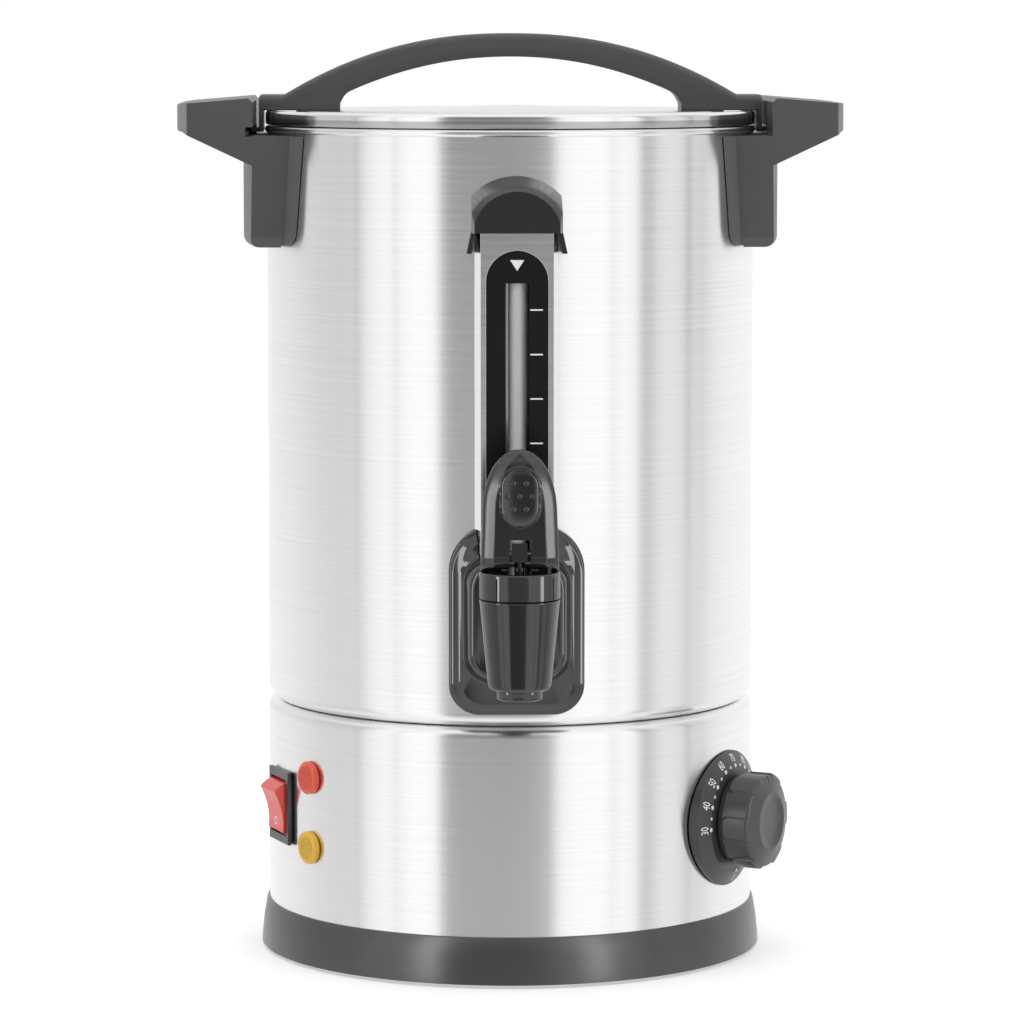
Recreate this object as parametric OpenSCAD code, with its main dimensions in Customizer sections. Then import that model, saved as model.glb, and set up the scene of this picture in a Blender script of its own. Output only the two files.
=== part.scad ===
// Electric hot water urn. Millimetres, +Z up, origin under the body axis on the resting plane.
// The tap faces -Y. Azimuths are measured from the front, positive towards +X.

/* [Tank] */
// Outer radius of the tank wall
tank_r = 122.5; // [118:0.5:135]
// Thickness of the steel sheet
sheet = 0.8; // [0.6:0.1:1]
// Height of the underside of the tank floor
floor_z = 127.5; // [122:0.5:140]
// Height of the top of the rolled rim
rim_z = 416.2; // [400:1:450]
// Section radius of the rolled rim
bead_r = 1.9; // [1.5:0.1:2.2]
// How far the rolled rim stands outside the wall
bead_out = 0.8; // [0.4:0.1:1]
// Radius of the tank's lower edge
edge_r = 7; // [3:0.5:8]
// Width of the flat floor around the raised pan
pan_inset = 34.5; // [30:0.5:38]
// Height of the raised pan
pan_rise = 3; // [2:0.5:4]

/* [Skirt] */
// How far the skirt stands outside the tank wall
skirt_step = 0.2; // [0:0.1:1]
// Radius of the skirt's rounded shoulder
shoulder_r = 5.4; // [4:0.2:8]
// Width of the flange that carries the tank
flange_w = 8; // [5:1:12]

/* [Base] */
// Height of the top of the base ring
ring_top_z = 24.8; // [18:0.2:30]
// Gap between the base ring and the resting plane
ring_gap = 1.8; // [1:0.2:3]
// How far the ring's foot stands outside the skirt
ring_flare = 4; // [2:0.5:8]
// How far the ring's top stands outside the skirt
ring_lip = 0.7; // [0.4:0.1:1.5]
// Wall of the base ring
ring_wall = 2.4; // [2:0.1:3]
// Height of the collar inside the skirt
collar_h = 7; // [4:1:12]
// Height of the underside of the bottom cover
cover_z = 5; // [4.5:0.1:6]
// Thickness of the bottom cover
cover_t = 1.2; // [0.8:0.1:1.6]
// Width of the rubber ring that the urn stands on
foot_w = 12; // [10:0.5:13]
// Distance of the tie studs from the ring's ledge
stud_inset = 10.9; // [9:0.1:13]
// Radius of a tie stud
stud_r = 2.5; // [2:0.5:3]

/* [Heater] */
// Margin of the raised pan around the heat spreader plate
plate_inset = 4; // [2:0.5:12]
// Thickness of the spreader plate
plate_t = 4; // [3:0.5:6]
// Mean radius of the element ring
element_ring_r = 60; // [50:1:66]
// Section radius of the element
element_r = 4; // [3:0.5:4.5]
// Radius of the boil-dry cut-out
cutout_r = 8.5; // [6:0.5:9]

/* [Lid] */
// How far the lid's edge stands outside the tank wall
lid_over = 0.5; // [0.2:0.1:0.8]
// Height of the lid's edge
lid_edge_h = 7; // [5:0.5:9]
// Rise of the dome in the middle of the lid
dome_rise = 2.5; // [1:0.5:5]
// Depth of the plug channel
channel_d = 10; // [6:0.5:12]
// Width of the plug channel's floor
channel_w = 5; // [3:0.5:7]

/* [Lid handle] */
// Height of the arch above the lid
arch_h = 38.4; // [32:0.2:50]
// Thickness of the arch at its middle
arch_t = 11.7; // [9:0.1:14]
// Depth of the lid handle, front to back
arch_depth = 36; // [28:1:42]
// Thickness of the handle's folded end wall
end_wall = 2; // [1.6:0.1:2.4]
// Gap between the lid's edge and the end wall
end_gap = 0.8; // [0.6:0.1:1.2]
// Reach of a locking lug beyond the end wall
lug_reach = 4; // [3.5:0.1:5]
// Width of a locking lug
lug_w = 28; // [20:1:32]

/* [Side handles] */
// Thickness of the insulating pad
pad_t = 2.4; // [1.6:0.1:3]
// Half width of the pad at its top
pad_half = 67; // [64:0.5:72]
// Half width of the bracket at its top
bracket_half = 60; // [54:0.5:62]
// Half width of the bracket at its foot
bracket_foot_half = 53; // [46:0.5:56]
// Height of the bracket below the rim
bracket_h = 59.5; // [50:0.5:70]
// How far the upright's outer face stands off the tank
upright_out = 11.5; // [9:0.1:13]
// How far the grip's tip stands off the tank
grip_out = 44.5; // [36:0.5:50]
// Thickness of the grip at its inner end
grip_t = 14.1; // [12:0.1:16]
// Height of the bayonet slot
slot_h = 4.6; // [4.2:0.1:5.5]

/* [Gauge] */
// Outer radius of the sight glass
glass_r = 4.25; // [3.5:0.05:4.5]
// Wall of the sight glass
glass_wall = 1.2; // [0.8:0.1:1.5]
// Distance from the tank wall to the sight glass's axis
glass_off = 6.9; // [6.8:0.1:8]
// Width of the guard channel at the tank
guard_w = 40.2; // [38:0.2:41]
// Width of the guard's front face
guard_face_w = 35; // [33:0.2:36]
// Width of the slot in the guard
guard_slot_w = 29.7; // [24:0.1:31]
// Width of the window in the scale
window_w = 11.3; // [10:0.1:14]
// Thickness of the scale strip
scale_t = 1.4; // [1:0.1:1.6]
// Depth from the rim to the top of the window
window_drop = 72.7; // [66:0.1:80]
// Depth from the rim to the gauge fitting
fitting_drop = 34.2; // [33:0.2:38]
// Width of the gauge cap
cap_w = 43.4; // [43:0.2:48]

/* [Tap] */
// Height of the tap's shank above the tank floor
tap_rise = 42; // [38:0.5:50]
// Distance from the tank wall to the cup's axis
cup_off = 55.5; // [52:0.5:66]
// Radius of the cup at its top
cup_top_r = 19.2; // [18:0.1:21]
// Radius of the cup at its foot
cup_foot_r = 15; // [14.5:0.1:16]
// Height of the cup
cup_h = 43.1; // [41:0.1:48]
// Height of the collar above the cup
tap_collar_h = 13.1; // [10:0.1:16]
// Radius of the spout nozzle
spout_r = 11; // [9.5:0.1:11.5]
// Radius of the spout bore
spout_bore_r = 7; // [5:0.1:8]
// Radius of the threaded shank
shank_r = 10; // [8.5:0.5:11]
// Radius of the shank's bore
shank_bore_r = 6; // [4:0.5:6.5]
// Radius of the neck
neck_r = 13; // [12:0.5:13]
// Width of the escutcheon
plate_w = 65.5; // [62:0.5:72]
// Height of the lever
lever_h = 56.8; // [50:0.2:64]
// Width of the lever at its foot
lever_w = 36.9; // [34:0.1:38]
// Radius of the valve stem
stem_r = 2.5; // [2:0.1:3]

/* [Thermostat] */
// Azimuth of the thermostat
dial_az = 60; // [50:0.5:70]
// Height of the thermostat's axis
dial_z = 73; // [68:0.5:80]
// Radius of the number disc
dial_r = 33.8; // [30:0.1:38]
// Thickness of the number disc at its middle
dial_t = 4.2; // [4:0.1:8]
// Radius of the knob
knob_r = 24; // [20:0.5:26]
// Depth of the knob
knob_d = 19.7; // [17:0.1:28]
// Radius of the thermostat shaft
shaft_r = 3; // [2.5:0.1:3.5]

/* [Switch and lamps] */
// Azimuth of the switch
switch_az = -70; // [-80:1:-64]
// Height of the switch's middle
switch_z = 77; // [66:0.2:84]
// Width of the switch bezel
bezel_w = 29; // [26:0.5:32]
// Height of the switch bezel
bezel_h = 36.5; // [34:0.5:40]
// Tilt of the rocker each way
rocker_tilt = 12; // [8:0.5:13]
// Azimuth of the lamps
lamp_az = -55; // [-56:1:-40]
// Radius of a lamp lens
lens_r = 8.15; // [7:0.05:9]
// Height of the upper lamp
lamp_heat_z = 95.4; // [92:0.2:104]
// Height of the lower lamp
lamp_warm_z = 60.4; // [52:0.2:66]

/* [Cord entry] */
// Radius of the bore for the mains cord
cord_bore_r = 3.6; // [3:0.1:4.5]
// Height of the cord entry
gland_z = 45; // [40:1:60]

/* [Hidden] */
$fn = 64;

// Clearances
run = 0.05;          // radial, shaft in its bore
fixed = 0.02;        // radial, piece fixed in its hole
seat = 0.3;          // between curved faces of separate pieces
through = 0.3;       // radial, screw or shank in a clearance hole
over = 1;            // how far a cutter reaches past the face that it cuts

// Body
skirt_r = tank_r + skirt_step;
skirt_in_r = skirt_r - sheet;
tank_in_r = tank_r - sheet;
bead_mid_r = tank_r + bead_out - bead_r;
lid_r = tank_r + lid_over;
lid_top_z = rim_z + seat + lid_edge_h;
ledge_z = cover_z + cover_t;
ledge_r = skirt_in_r - 10;
stud_ring_r = ledge_r - stud_inset;
foot_ring_r = stud_ring_r - foot_w / 2 - 6;
pan_r = tank_r - pan_inset;
plate_r = pan_r - plate_inset;

// Gauge, measured from the body axis
glass_axis_r = tank_r + glass_off;
scale_in_r = glass_axis_r + glass_r + 0.25;
guard_in_r = scale_in_r + scale_t;
guard_out_r = guard_in_r + sheet;
cap_body_r = guard_out_r + 2.2;
cap_front_r = cap_body_r + 4;
fitting_z = rim_z - fitting_drop;
fitting_r = 8;
socket_r = glass_r + 1.5;
window_top_z = rim_z - window_drop;

// Tap
tap_z = floor_z + tap_rise;
cup_y = -(tank_r + cup_off);
cup_foot_z = tap_z - neck_r - 2;
cup_top_z = cup_foot_z + cup_h;
collar_top_z = cup_top_z + tap_collar_h;
chamber_r = 13.5;
chamber_z = cup_foot_z + 2.7;
spout_z = cup_foot_z - 4.9;
valve_z = chamber_z + 2;
plug_t = 6;
bonnet_z = cup_top_z - 7.6;
washer_r = shank_r + 5;
washer_out_r = tank_r + 2.9;
boss_top_z = tap_z + 29.5;
lever_foot_z = collar_top_z + 0.5;
pin_z = lever_foot_z + 7.8;
pin_r = 1.5;
lever_top_z = lever_foot_z + lever_h;
plate_foot_z = tap_z - 34.8;
plate_top_z = tap_z + 57;

// Lid handle
end_in_x = lid_r + end_gap;
end_out_x = end_in_x + end_wall;
arch_top_z = lid_top_z + arch_h;
end_top_z = lid_top_z + 7.8;
foot_in_x = end_in_x - 38.4;
lug_z = rim_z - 3.2;
lug_t = 2;

// Side handles
platform_z = lug_z - 1.5;
slot_top_z = platform_z + slot_h;
grip_in_x = end_out_x + 2;
slot_end_x = end_out_x + lug_reach + 1.6;
upright_x = tank_r + upright_out;
grip_tip_x = tank_r + grip_out;
bracket_foot_z = rim_z - bracket_h;
tip_round_r = 2.1 * tank_r;
upright_round_r = 2.4 * tank_r;
handle_bolt_z = platform_z - 27;
handle_bolt_az = 10;
pad_r = tank_r + 0.1 + pad_t;

// Switch
rocker_pivot_r = skirt_r - 3;
case_w = bezel_w - 4.2;
case_h = bezel_h - 6.1;
opening_w = case_w - 2;
opening_h = bezel_h - 8.4;
rocker_end_r = opening_h / 2 - 0.25;

function chord(r, x) = sqrt(r * r - x * x);
function arc(c, r, a0, a1, n = 8) =
    [for (i = [0:n]) let (a = a0 + (a1 - a0) * i / n) [c[0] + r * cos(a), c[1] + r * sin(a)]];
function unit(v) = v / norm(v);
// Smooth path through points, straight near a short end piece
function heading(p, i) = let (last = len(p) - 1) i == 0 ? unit(p[1] - p[0]) :
    i == last ? unit(p[last] - p[last - 1]) :
    let (a = p[i] - p[i - 1], b = p[i + 1] - p[i])
    unit(a * norm(b) / norm(a) + b * norm(a) / norm(b));
function hermite(p, q, m, n, t) = (2 * t * t * t - 3 * t * t + 1) * p
    + (t * t * t - 2 * t * t + t) * m + (3 * t * t - 2 * t * t * t) * q
    + (t * t * t - t * t) * n;
function spline(p, steps) = let (last = len(p) - 1) concat(
    [for (i = [0:last - 1], k = [0:steps - 1]) let (l = norm(p[i + 1] - p[i]))
        hermite(p[i], p[i + 1], l * heading(p, i), l * heading(p, i + 1), k / steps)],
    [p[last]]);

// Local frame on the body's side: x to the right, y up, z outwards from the body axis
module facing(az, z = 0) {
    rotate([0, 0, az]) translate([0, 0, z]) rotate([90, 0, 0]) children();
}

module pipe(h, r_out, r_in) {
    difference() {
        cylinder(h = h, r = r_out);
        translate([0, 0, -over]) cylinder(h = h + 2 * over, r = r_in);
    }
}

module hex_nut(h, across_flats, hole_r) {
    difference() {
        cylinder(h = h, r = across_flats / sqrt(3), $fn = 6);
        translate([0, 0, -over]) cylinder(h = h + 2 * over, r = hole_r);
    }
}

// Cross directions carried along a path without twisting
function cross_frames(path, side, i = 0) = i == len(path) ? [] :
    let (along = unit(path[min(i + 1, len(path) - 1)] - path[max(i - 1, 0)]),
        across = unit(side - (side * along) * along))
    concat([[across, cross(along, across)]], cross_frames(path, across, i + 1));

// Round tube swept along a path
module swept_tube(path, r, sides = 6) {
    last = len(path) - 1;
    frames = cross_frames(path, [0.31, 0.22, 0.92]);
    rings = [for (i = [0:last], k = [0:sides - 1]) path[i]
        + r * (cos(360 * k / sides) * frames[i][0] + sin(360 * k / sides) * frames[i][1])];
    walls = [for (i = [0:last - 1], k = [0:sides - 1]) let (n = (k + 1) % sides)
        [i * sides + k, (i + 1) * sides + k, (i + 1) * sides + n, i * sides + n]];
    ends = [[for (k = [0:sides - 1]) k], [for (k = [sides - 1:-1:0]) last * sides + k]];
    polyhedron(rings, concat(walls, ends));
}

// Rounded plate in a facing frame, drawn in at its front by the taper
module rounded_plate(half_w, y0, y1, z0, z1, r_foot, r_top, taper = 0) {
    hull() {
        for (s = [-1, 1]) {
            translate([s * (half_w - r_foot), y0 + r_foot, z0])
                cylinder(h = z1 - z0, r1 = r_foot, r2 = r_foot - taper, $fn = 32);
            translate([s * (half_w - r_top), y1 - r_top, z0])
                cylinder(h = z1 - z0, r1 = r_top, r2 = r_top - taper, $fn = 32);
        }
    }
}

module body_cylinder(r) {
    cylinder(h = rim_z, r = r, $fn = 180);
}

// Vessel

module tank() {
    wall_arc = [tank_r - edge_r, floor_z + edge_r];
    color("silver") difference() {
        union() {
            rotate_extrude($fn = 180) polygon(concat(
                [[0, floor_z + pan_rise], [pan_r, floor_z + pan_rise],
                    [pan_r + pan_rise, floor_z]],
                arc(wall_arc, edge_r, -90, 0),
                [[tank_r, rim_z - bead_r], [tank_in_r, rim_z - bead_r]],
                arc(wall_arc, edge_r - sheet, 0, -90),
                [[pan_r + pan_rise, floor_z + sheet], [pan_r, floor_z + pan_rise + sheet],
                    [0, floor_z + pan_rise + sheet]]));
            rotate_extrude($fn = 180) translate([bead_mid_r, rim_z - bead_r]) circle(r = bead_r);
        }
        facing(0, tap_z) translate([0, 0, tank_r - 20]) cylinder(h = 30, r = shank_r + through);
        facing(0, fitting_z) translate([0, 0, tank_r - 20]) cylinder(h = 30, r = 5 + through);
        handle_bolts() translate([0, 0, tank_r - 10]) cylinder(h = 20, r = 2.5 + through);
    }
}

module lower_shell() {
    shoulder = [skirt_r - shoulder_r, floor_z - shoulder_r];
    flange_r = skirt_r - shoulder_r - flange_w;
    color("silver") difference() {
        rotate_extrude($fn = 180) polygon(concat(
            [[skirt_r, ring_top_z]],
            arc(shoulder, shoulder_r, 0, 90),
            [[flange_r, floor_z], [flange_r, floor_z - sheet]],
            arc(shoulder, shoulder_r - sheet, 90, 0),
            [[skirt_in_r, ring_top_z]]));
        facing(switch_az, switch_z)
            translate([-case_w / 2 - 0.2, -case_h / 2 - 0.2, skirt_r - 15])
                cube([case_w + 0.4, case_h + 0.4, 30]);
        for (z = [lamp_heat_z, lamp_warm_z])
            facing(lamp_az, z) translate([0, 0, skirt_r - 10]) cylinder(h = 20, r = 6.2);
        facing(dial_az, dial_z) translate([0, 0, skirt_r - 10]) {
            cylinder(h = 20, r = 5.2);
            for (x = [-14, 14]) translate([x, 0, 0]) cylinder(h = 20, r = 2.2);
        }
        facing(180, gland_z) translate([0, 0, skirt_r - 10]) cylinder(h = 20, r = 8.2);
    }
}

// Base

module base_ring() {
    collar_r = skirt_in_r - 0.1;
    foot_out_r = skirt_r + ring_flare;
    wall_in_r = foot_out_r - ring_wall - 0.8;
    color("dimgray") rotate_extrude($fn = 180) polygon([
        [foot_out_r, ring_gap],
        [skirt_r + ring_lip, ring_top_z],
        [collar_r, ring_top_z],
        [collar_r, ring_top_z + collar_h],
        [collar_r - ring_wall, ring_top_z + collar_h],
        [collar_r - ring_wall, ring_top_z - 2.4],
        [wall_in_r, ledge_z + 7],
        [wall_in_r, ledge_z + ring_wall],
        [ledge_r, ledge_z + ring_wall],
        [ledge_r, ledge_z],
        [foot_out_r - ring_wall, ledge_z],
        [foot_out_r - ring_wall, ring_gap]]);
}

module at_feet() {
    for (a = [45, 135, 225, 315]) rotate([0, 0, a]) translate([foot_ring_r, 0, 0]) children();
}

module at_studs() {
    for (a = [0, 120, 240]) rotate([0, 0, a]) translate([0, -stud_ring_r, 0]) children();
}

module bottom_cover() {
    vents = 10;
    color("gray") difference() {
        translate([0, 0, cover_z]) cylinder(h = cover_t, r = skirt_r + 0.9, $fn = 180);
        at_feet() cylinder(h = 20, r = 4.1);
        at_studs() cylinder(h = 20, r = stud_r + through);
        for (i = [0:vents - 1]) rotate([0, 0, 360 * (i + 0.5) / vents])
            translate([30, -2, 0]) cube([16, 4, 20]);
        for (x = [-15, 15]) translate([x, block_y, 0]) cylinder(h = 20, r = 1.8);
        translate([earth_x, block_y, 0]) cylinder(h = 20, r = 2.2);
    }
}

// Ring with air slots, held by four snap pins through the cover
module foot_ring() {
    slots = 12;
    color([0.12, 0.12, 0.12]) {
        difference() {
            pipe(cover_z, foot_ring_r + foot_w / 2, foot_ring_r - foot_w / 2, $fn = 120);
            for (i = [0:slots - 1]) rotate([0, 0, 360 * i / slots])
                translate([foot_ring_r - foot_w, -4, 2]) cube([2 * foot_w, 8, cover_z - 2.8]);
        }
        at_feet() {
            translate([0, 0, cover_z - over]) cylinder(h = cover_t + 3 + over, r = 4);
            translate([0, 0, ledge_z]) cylinder(h = 3, r1 = 5.2, r2 = 3.4);
        }
    }
}

module tie_studs() {
    color("silver") at_studs() translate([0, 0, cover_z - 3.4])
        cylinder(h = floor_z - cover_z + 3.4, r = stud_r);
}

module tie_nuts() {
    color("silver") at_studs() {
        translate([0, 0, cover_z - 3.2]) hex_nut(3.2, 8, stud_r + fixed);
        translate([0, 0, ledge_z]) hex_nut(3.2, 8, stud_r + fixed);
    }
}

// Heating

element_z = floor_z + pan_rise - plate_t - 0.6 * element_r;
plate_z = floor_z + pan_rise - plate_t;
element_gap = 10;

module heater_plate() {
    color("lightgray") difference() {
        translate([0, 0, plate_z]) cylinder(h = plate_t, r = plate_r, $fn = 120);
        translate([0, 0, element_z]) rotate_extrude($fn = 120)
            translate([element_ring_r, 0]) circle(r = element_r + run);
        for (x = [-14, 14]) translate([x, 0, plate_z - over]) cylinder(h = 4, r = 1.5 + fixed);
        translate([0, -bulb_y - 8, plate_z - over]) cylinder(h = 4, r = 1.5 + fixed);
    }
}

module at_element_ends() {
    for (s = [-1, 1]) rotate([0, 0, 90 + s * element_gap]) translate([element_ring_r, 0, 0])
        children();
}

module heater_element() {
    color("dimgray") {
        translate([0, 0, element_z]) rotate([0, 0, 90 + element_gap])
            rotate_extrude(angle = 360 - 2 * element_gap, $fn = 120)
                translate([element_ring_r, 0]) circle(r = element_r);
        at_element_ends() translate([0, 0, plate_z - 20]) cylinder(h = 19.8, r = element_r + 0.3);
    }
}

module heater_terminals() {
    color("ivory") at_element_ends() translate([0, 0, plate_z - 28]) {
        cylinder(h = 8, r = 3.2);
        translate([-0.4, -3.15, -9]) cube([0.8, 6.3, 10]);
    }
}

module cutout() {
    color("wheat") difference() {
        union() {
            translate([0, 0, plate_z - 7]) cylinder(h = 7, r = cutout_r);
            translate([-18, -4, plate_z - 1]) cube([36, 8, 1]);
            for (s = [-1, 1]) translate([s * 4 - 0.4, -3.15, plate_z - 15]) cube([0.8, 6.3, 9]);
        }
        for (x = [-14, 14]) translate([x, 0, plate_z - 5]) cylinder(h = 10, r = 1.8);
    }
}

module cutout_screws() {
    color("silver") for (x = [-14, 14]) translate([x, 0, plate_z - 3]) {
        cylinder(h = 2, r = 2.6);
        cylinder(h = 5, r = 1.5);
    }
}

bulb_y = 22;
bulb_r = 3;
bulb_z = plate_z - bulb_r - 0.2;

module sensor_bulb() {
    color("peru") translate([-26, -bulb_y, bulb_z]) rotate([0, 90, 0])
        cylinder(h = 52, r = bulb_r);
}

module bulb_clip() {
    color("silver") difference() {
        union() {
            translate([-4, -bulb_y, bulb_z]) rotate([0, 90, 0]) cylinder(h = 8, r = bulb_r + 1);
            translate([-4, -bulb_y - 12, plate_z - 1]) cube([8, 12, 1]);
        }
        translate([-over - 4, -bulb_y, bulb_z]) rotate([0, 90, 0])
            cylinder(h = 8 + 2 * over, r = bulb_r + fixed);
        translate([-10, -bulb_y - 20, plate_z]) cube([20, 40, 10]);
        translate([0, -bulb_y - 8, plate_z - 5]) cylinder(h = 10, r = 1.7);
    }
    color("silver") translate([0, -bulb_y - 8, plate_z - 3]) {
        cylinder(h = 2, r = 2.6);
        cylinder(h = 5, r = 1.5);
    }
}

// Thermostat

therm_front_r = chord(skirt_in_r, 18) - 0.1;
therm_back_r = therm_front_r - 22;
dial_back_r = skirt_r + 0.7;
dial_front_r = dial_back_r + dial_t;
knob_back_r = dial_front_r + 0.6;

module thermostat_body() {
    color("darkkhaki") facing(dial_az, dial_z) difference() {
        union() {
            translate([-18, -18, therm_back_r]) cube([36, 36, 22]);
            translate([0, 0, therm_front_r - over]) cylinder(h = 6, r = 5);
            for (x = [-8, 8]) translate([x - 3.15, -12, therm_back_r - 8])
                cube([6.3, 0.8, 9]);
        }
        translate([0, 0, therm_front_r - 12]) cylinder(h = 30, r = shaft_r + run);
        for (x = [-14, 14]) translate([x, 0, therm_front_r - 8]) cylinder(h = 9, r = 2 + fixed);
    }
}

module thermostat_shaft() {
    color("silver") facing(dial_az, dial_z) translate([0, 0, therm_front_r - 11])
        cylinder(h = knob_back_r + 14 - therm_front_r + 11, r = shaft_r);
}

module thermostat_screws() {
    head_r = chord(skirt_r, 10.4) + 0.02;
    color("silver") facing(dial_az, dial_z) for (x = [-14, 14])
        translate([x, 0, head_r]) {
            cylinder(h = 2, r = 3.6);
            translate([0, 0, therm_front_r - 7 - head_r])
                cylinder(h = head_r - therm_front_r + 8, r = 2);
        }
}

// Number disc: flat middle, sloping ring for the numbers, steep edge, back shaped to the wall
module thermostat_bezel() {
    edge_r = dial_r - 0.8;
    flat_r = dial_r - 7;
    pocket_r = dial_front_r - 2;
    color([0.1, 0.1, 0.1]) {
        difference() {
            facing(dial_az, dial_z) difference() {
                union() {
                    translate([0, 0, skirt_r - 12])
                        cylinder(h = dial_front_r - 3.9 - skirt_r + 12, r = dial_r, $fn = 96);
                    translate([0, 0, dial_front_r - 3.9])
                        cylinder(h = 0.5, r1 = dial_r, r2 = edge_r, $fn = 96);
                    translate([0, 0, dial_front_r - 3.4])
                        cylinder(h = 3.4, r1 = edge_r, r2 = flat_r, $fn = 96);
                }
                translate([0, 0, skirt_r - 13]) cylinder(h = pocket_r - skirt_r + 13, r = 25);
                translate([0, 0, skirt_r]) cylinder(h = 30, r = shaft_r + 0.6);
            }
            body_cylinder(dial_back_r);
        }
        difference() {
            facing(dial_az, dial_z) translate([0, 0, skirt_r - 8])
                pipe(pocket_r - skirt_r + 8.5, 24, 21.5);
            body_cylinder(skirt_r + 0.05);
        }
    }
}

// Knob with six raised grip pads, a shallow cone in front, a dish and a pointer notch
module thermostat_knob() {
    grips = 6;
    grip_rise = 1.2;
    cone_d = 2.7;
    dish_r = 14.2;
    front_r = knob_back_r + knob_d;
    color([0.12, 0.12, 0.12]) facing(dial_az, dial_z) difference() {
        union() {
            translate([0, 0, knob_back_r]) cylinder(h = knob_d - cone_d, r = knob_r - grip_rise,
                $fn = 96);
            translate([0, 0, front_r - cone_d]) cylinder(h = cone_d, r1 = knob_r - grip_rise,
                r2 = dish_r, $fn = 96);
            intersection() {
                union() {
                    translate([0, 0, knob_back_r + 4]) cylinder(h = knob_d - cone_d - 4,
                        r = knob_r, $fn = 96);
                    translate([0, 0, front_r - cone_d]) cylinder(h = cone_d - 0.4, r1 = knob_r,
                        r2 = dish_r + 0.8, $fn = 96);
                }
                union() {
                    for (i = [0:grips - 1]) rotate([0, 0, 360 * i / grips + 3])
                        translate([dish_r + 2, -5.4, knob_back_r + 2])
                            cube([12, 10.8, knob_d + 2]);
                }
            }
        }
        translate([0, 0, front_r - 1.6]) cylinder(h = 1.7, r1 = 9, r2 = dish_r);
        translate([-0.9, dish_r + 1, front_r - 3.4]) cube([1.8, 12, 5]);
        translate([0, 0, knob_back_r - over]) cylinder(h = 14.5 + over, r = shaft_r + fixed);
        translate([0, 0, knob_back_r - over]) difference() {
            cylinder(h = 12, r = knob_r - 6);
            cylinder(h = 12, r = shaft_r + 3);
        }
    }
}

// Switch and lamps

module switch_body() {
    frame_t = 2;
    color([0.1, 0.1, 0.1]) facing(switch_az, switch_z) difference() {
        union() {
            translate([-case_w / 2, -case_h / 2, skirt_r - 24]) cube([case_w, case_h, 25]);
            translate([-bezel_w / 2, -bezel_h / 2, skirt_r + 0.05])
                cube([bezel_w, bezel_h, frame_t - 0.05]);
            for (x = [-5, 5], y = [-7, 7]) translate([x - 0.4, y - 3.15, skirt_r - 32])
                cube([0.8, 6.3, 9]);
        }
        translate([-opening_w / 2, -opening_h / 2, rocker_pivot_r - 9])
            cube([opening_w, opening_h, 40]);
        translate([-opening_w / 2 - 0.7, 0, rocker_pivot_r]) rotate([0, 90, 0])
            cylinder(h = opening_w + 1.4, r = 1.5 + run);
    }
}

module switch_rocker() {
    half_w = opening_w / 2 - 0.25;
    ridge = [rocker_end_r * cos(40), rocker_end_r * sin(40)];
    dip = 1.65;
    hollow_r = (ridge[0] * ridge[0] + dip * dip) / (2 * dip);
    half_a = asin(ridge[0] / hollow_r);
    color("red") facing(switch_az, switch_z) translate([0, 0, rocker_pivot_r])
        rotate([rocker_tilt, 0, 0]) {
            rotate([90, 0, 90]) translate([0, 0, -half_w]) linear_extrude(height = 2 * half_w)
                polygon(concat([[-9, -6], [9, -6]],
                    arc([0, 0], rocker_end_r, -15, 40, 6),
                    arc([0, ridge[1] - dip + hollow_r], hollow_r, -90 + 0.9 * half_a,
                        -90 - 0.9 * half_a, 8),
                    arc([0, 0], rocker_end_r, 140, 195, 6)));
            translate([-half_w - 0.85, 0, 0]) rotate([0, 90, 0])
                cylinder(h = 2 * half_w + 1.7, r = 1.5);
        }
}

module lamp_lens(z) {
    facing(lamp_az, z) difference() {
        translate([0, 0, skirt_r + 0.4]) {
            cylinder(h = 1.8, r = lens_r);
            translate([0, 0, 1.8]) cylinder(h = 1.2, r1 = lens_r, r2 = lens_r - 2.2);
        }
        translate([0, 0, skirt_r - over]) cylinder(h = 3, r = 5.6);
    }
}

module lamp_heat_lens() {
    color("crimson") lamp_lens(lamp_heat_z);
}

module lamp_warm_lens() {
    color("orange") lamp_lens(lamp_warm_z);
}

module lamp_bodies() {
    color([0.15, 0.15, 0.15]) for (z = [lamp_heat_z, lamp_warm_z]) facing(lamp_az, z) {
        translate([0, 0, skirt_r - 20]) cylinder(h = 21.9, r = 5.5);
        for (x = [-3, 3]) translate([x - 0.4, -1.4, skirt_r - 27]) cube([0.8, 2.8, 8]);
    }
}

module lamp_clips() {
    color("silver") for (z = [lamp_heat_z, lamp_warm_z]) facing(lamp_az, z)
        translate([0, 0, chord(skirt_in_r, 8.5) - 0.8]) pipe(0.8, 8.5, 5.5 + fixed);
}

// Mains entry

block_y = 0.5 * skirt_in_r;
earth_x = 0.34 * skirt_in_r;
block_top_z = ledge_z + 16;

module cable_gland() {
    color([0.13, 0.13, 0.13]) difference() {
        facing(180, gland_z) difference() {
            union() {
                translate([0, 0, skirt_r - 12]) cylinder(h = 14, r = 8);
                translate([0, 0, skirt_r - 3]) cylinder(h = 7, r = 11);
                translate([0, 0, skirt_r + 4]) cylinder(h = 14, r1 = 8.5, r2 = 6.5);
            }
            translate([0, 0, skirt_r - 20]) cylinder(h = 50, r = cord_bore_r);
        }
        difference() {
            body_cylinder(skirt_r + 0.05);
            facing(180, gland_z) translate([0, 0, skirt_r - 30]) cylinder(h = 40, r = 8);
        }
    }
}

module gland_nut() {
    nut_out_r = chord(skirt_in_r, 11.6) - 0.05;
    color([0.13, 0.13, 0.13]) facing(180, gland_z) translate([0, 0, nut_out_r - 5])
        hex_nut(5, 20, 8 + fixed);
}

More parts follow.
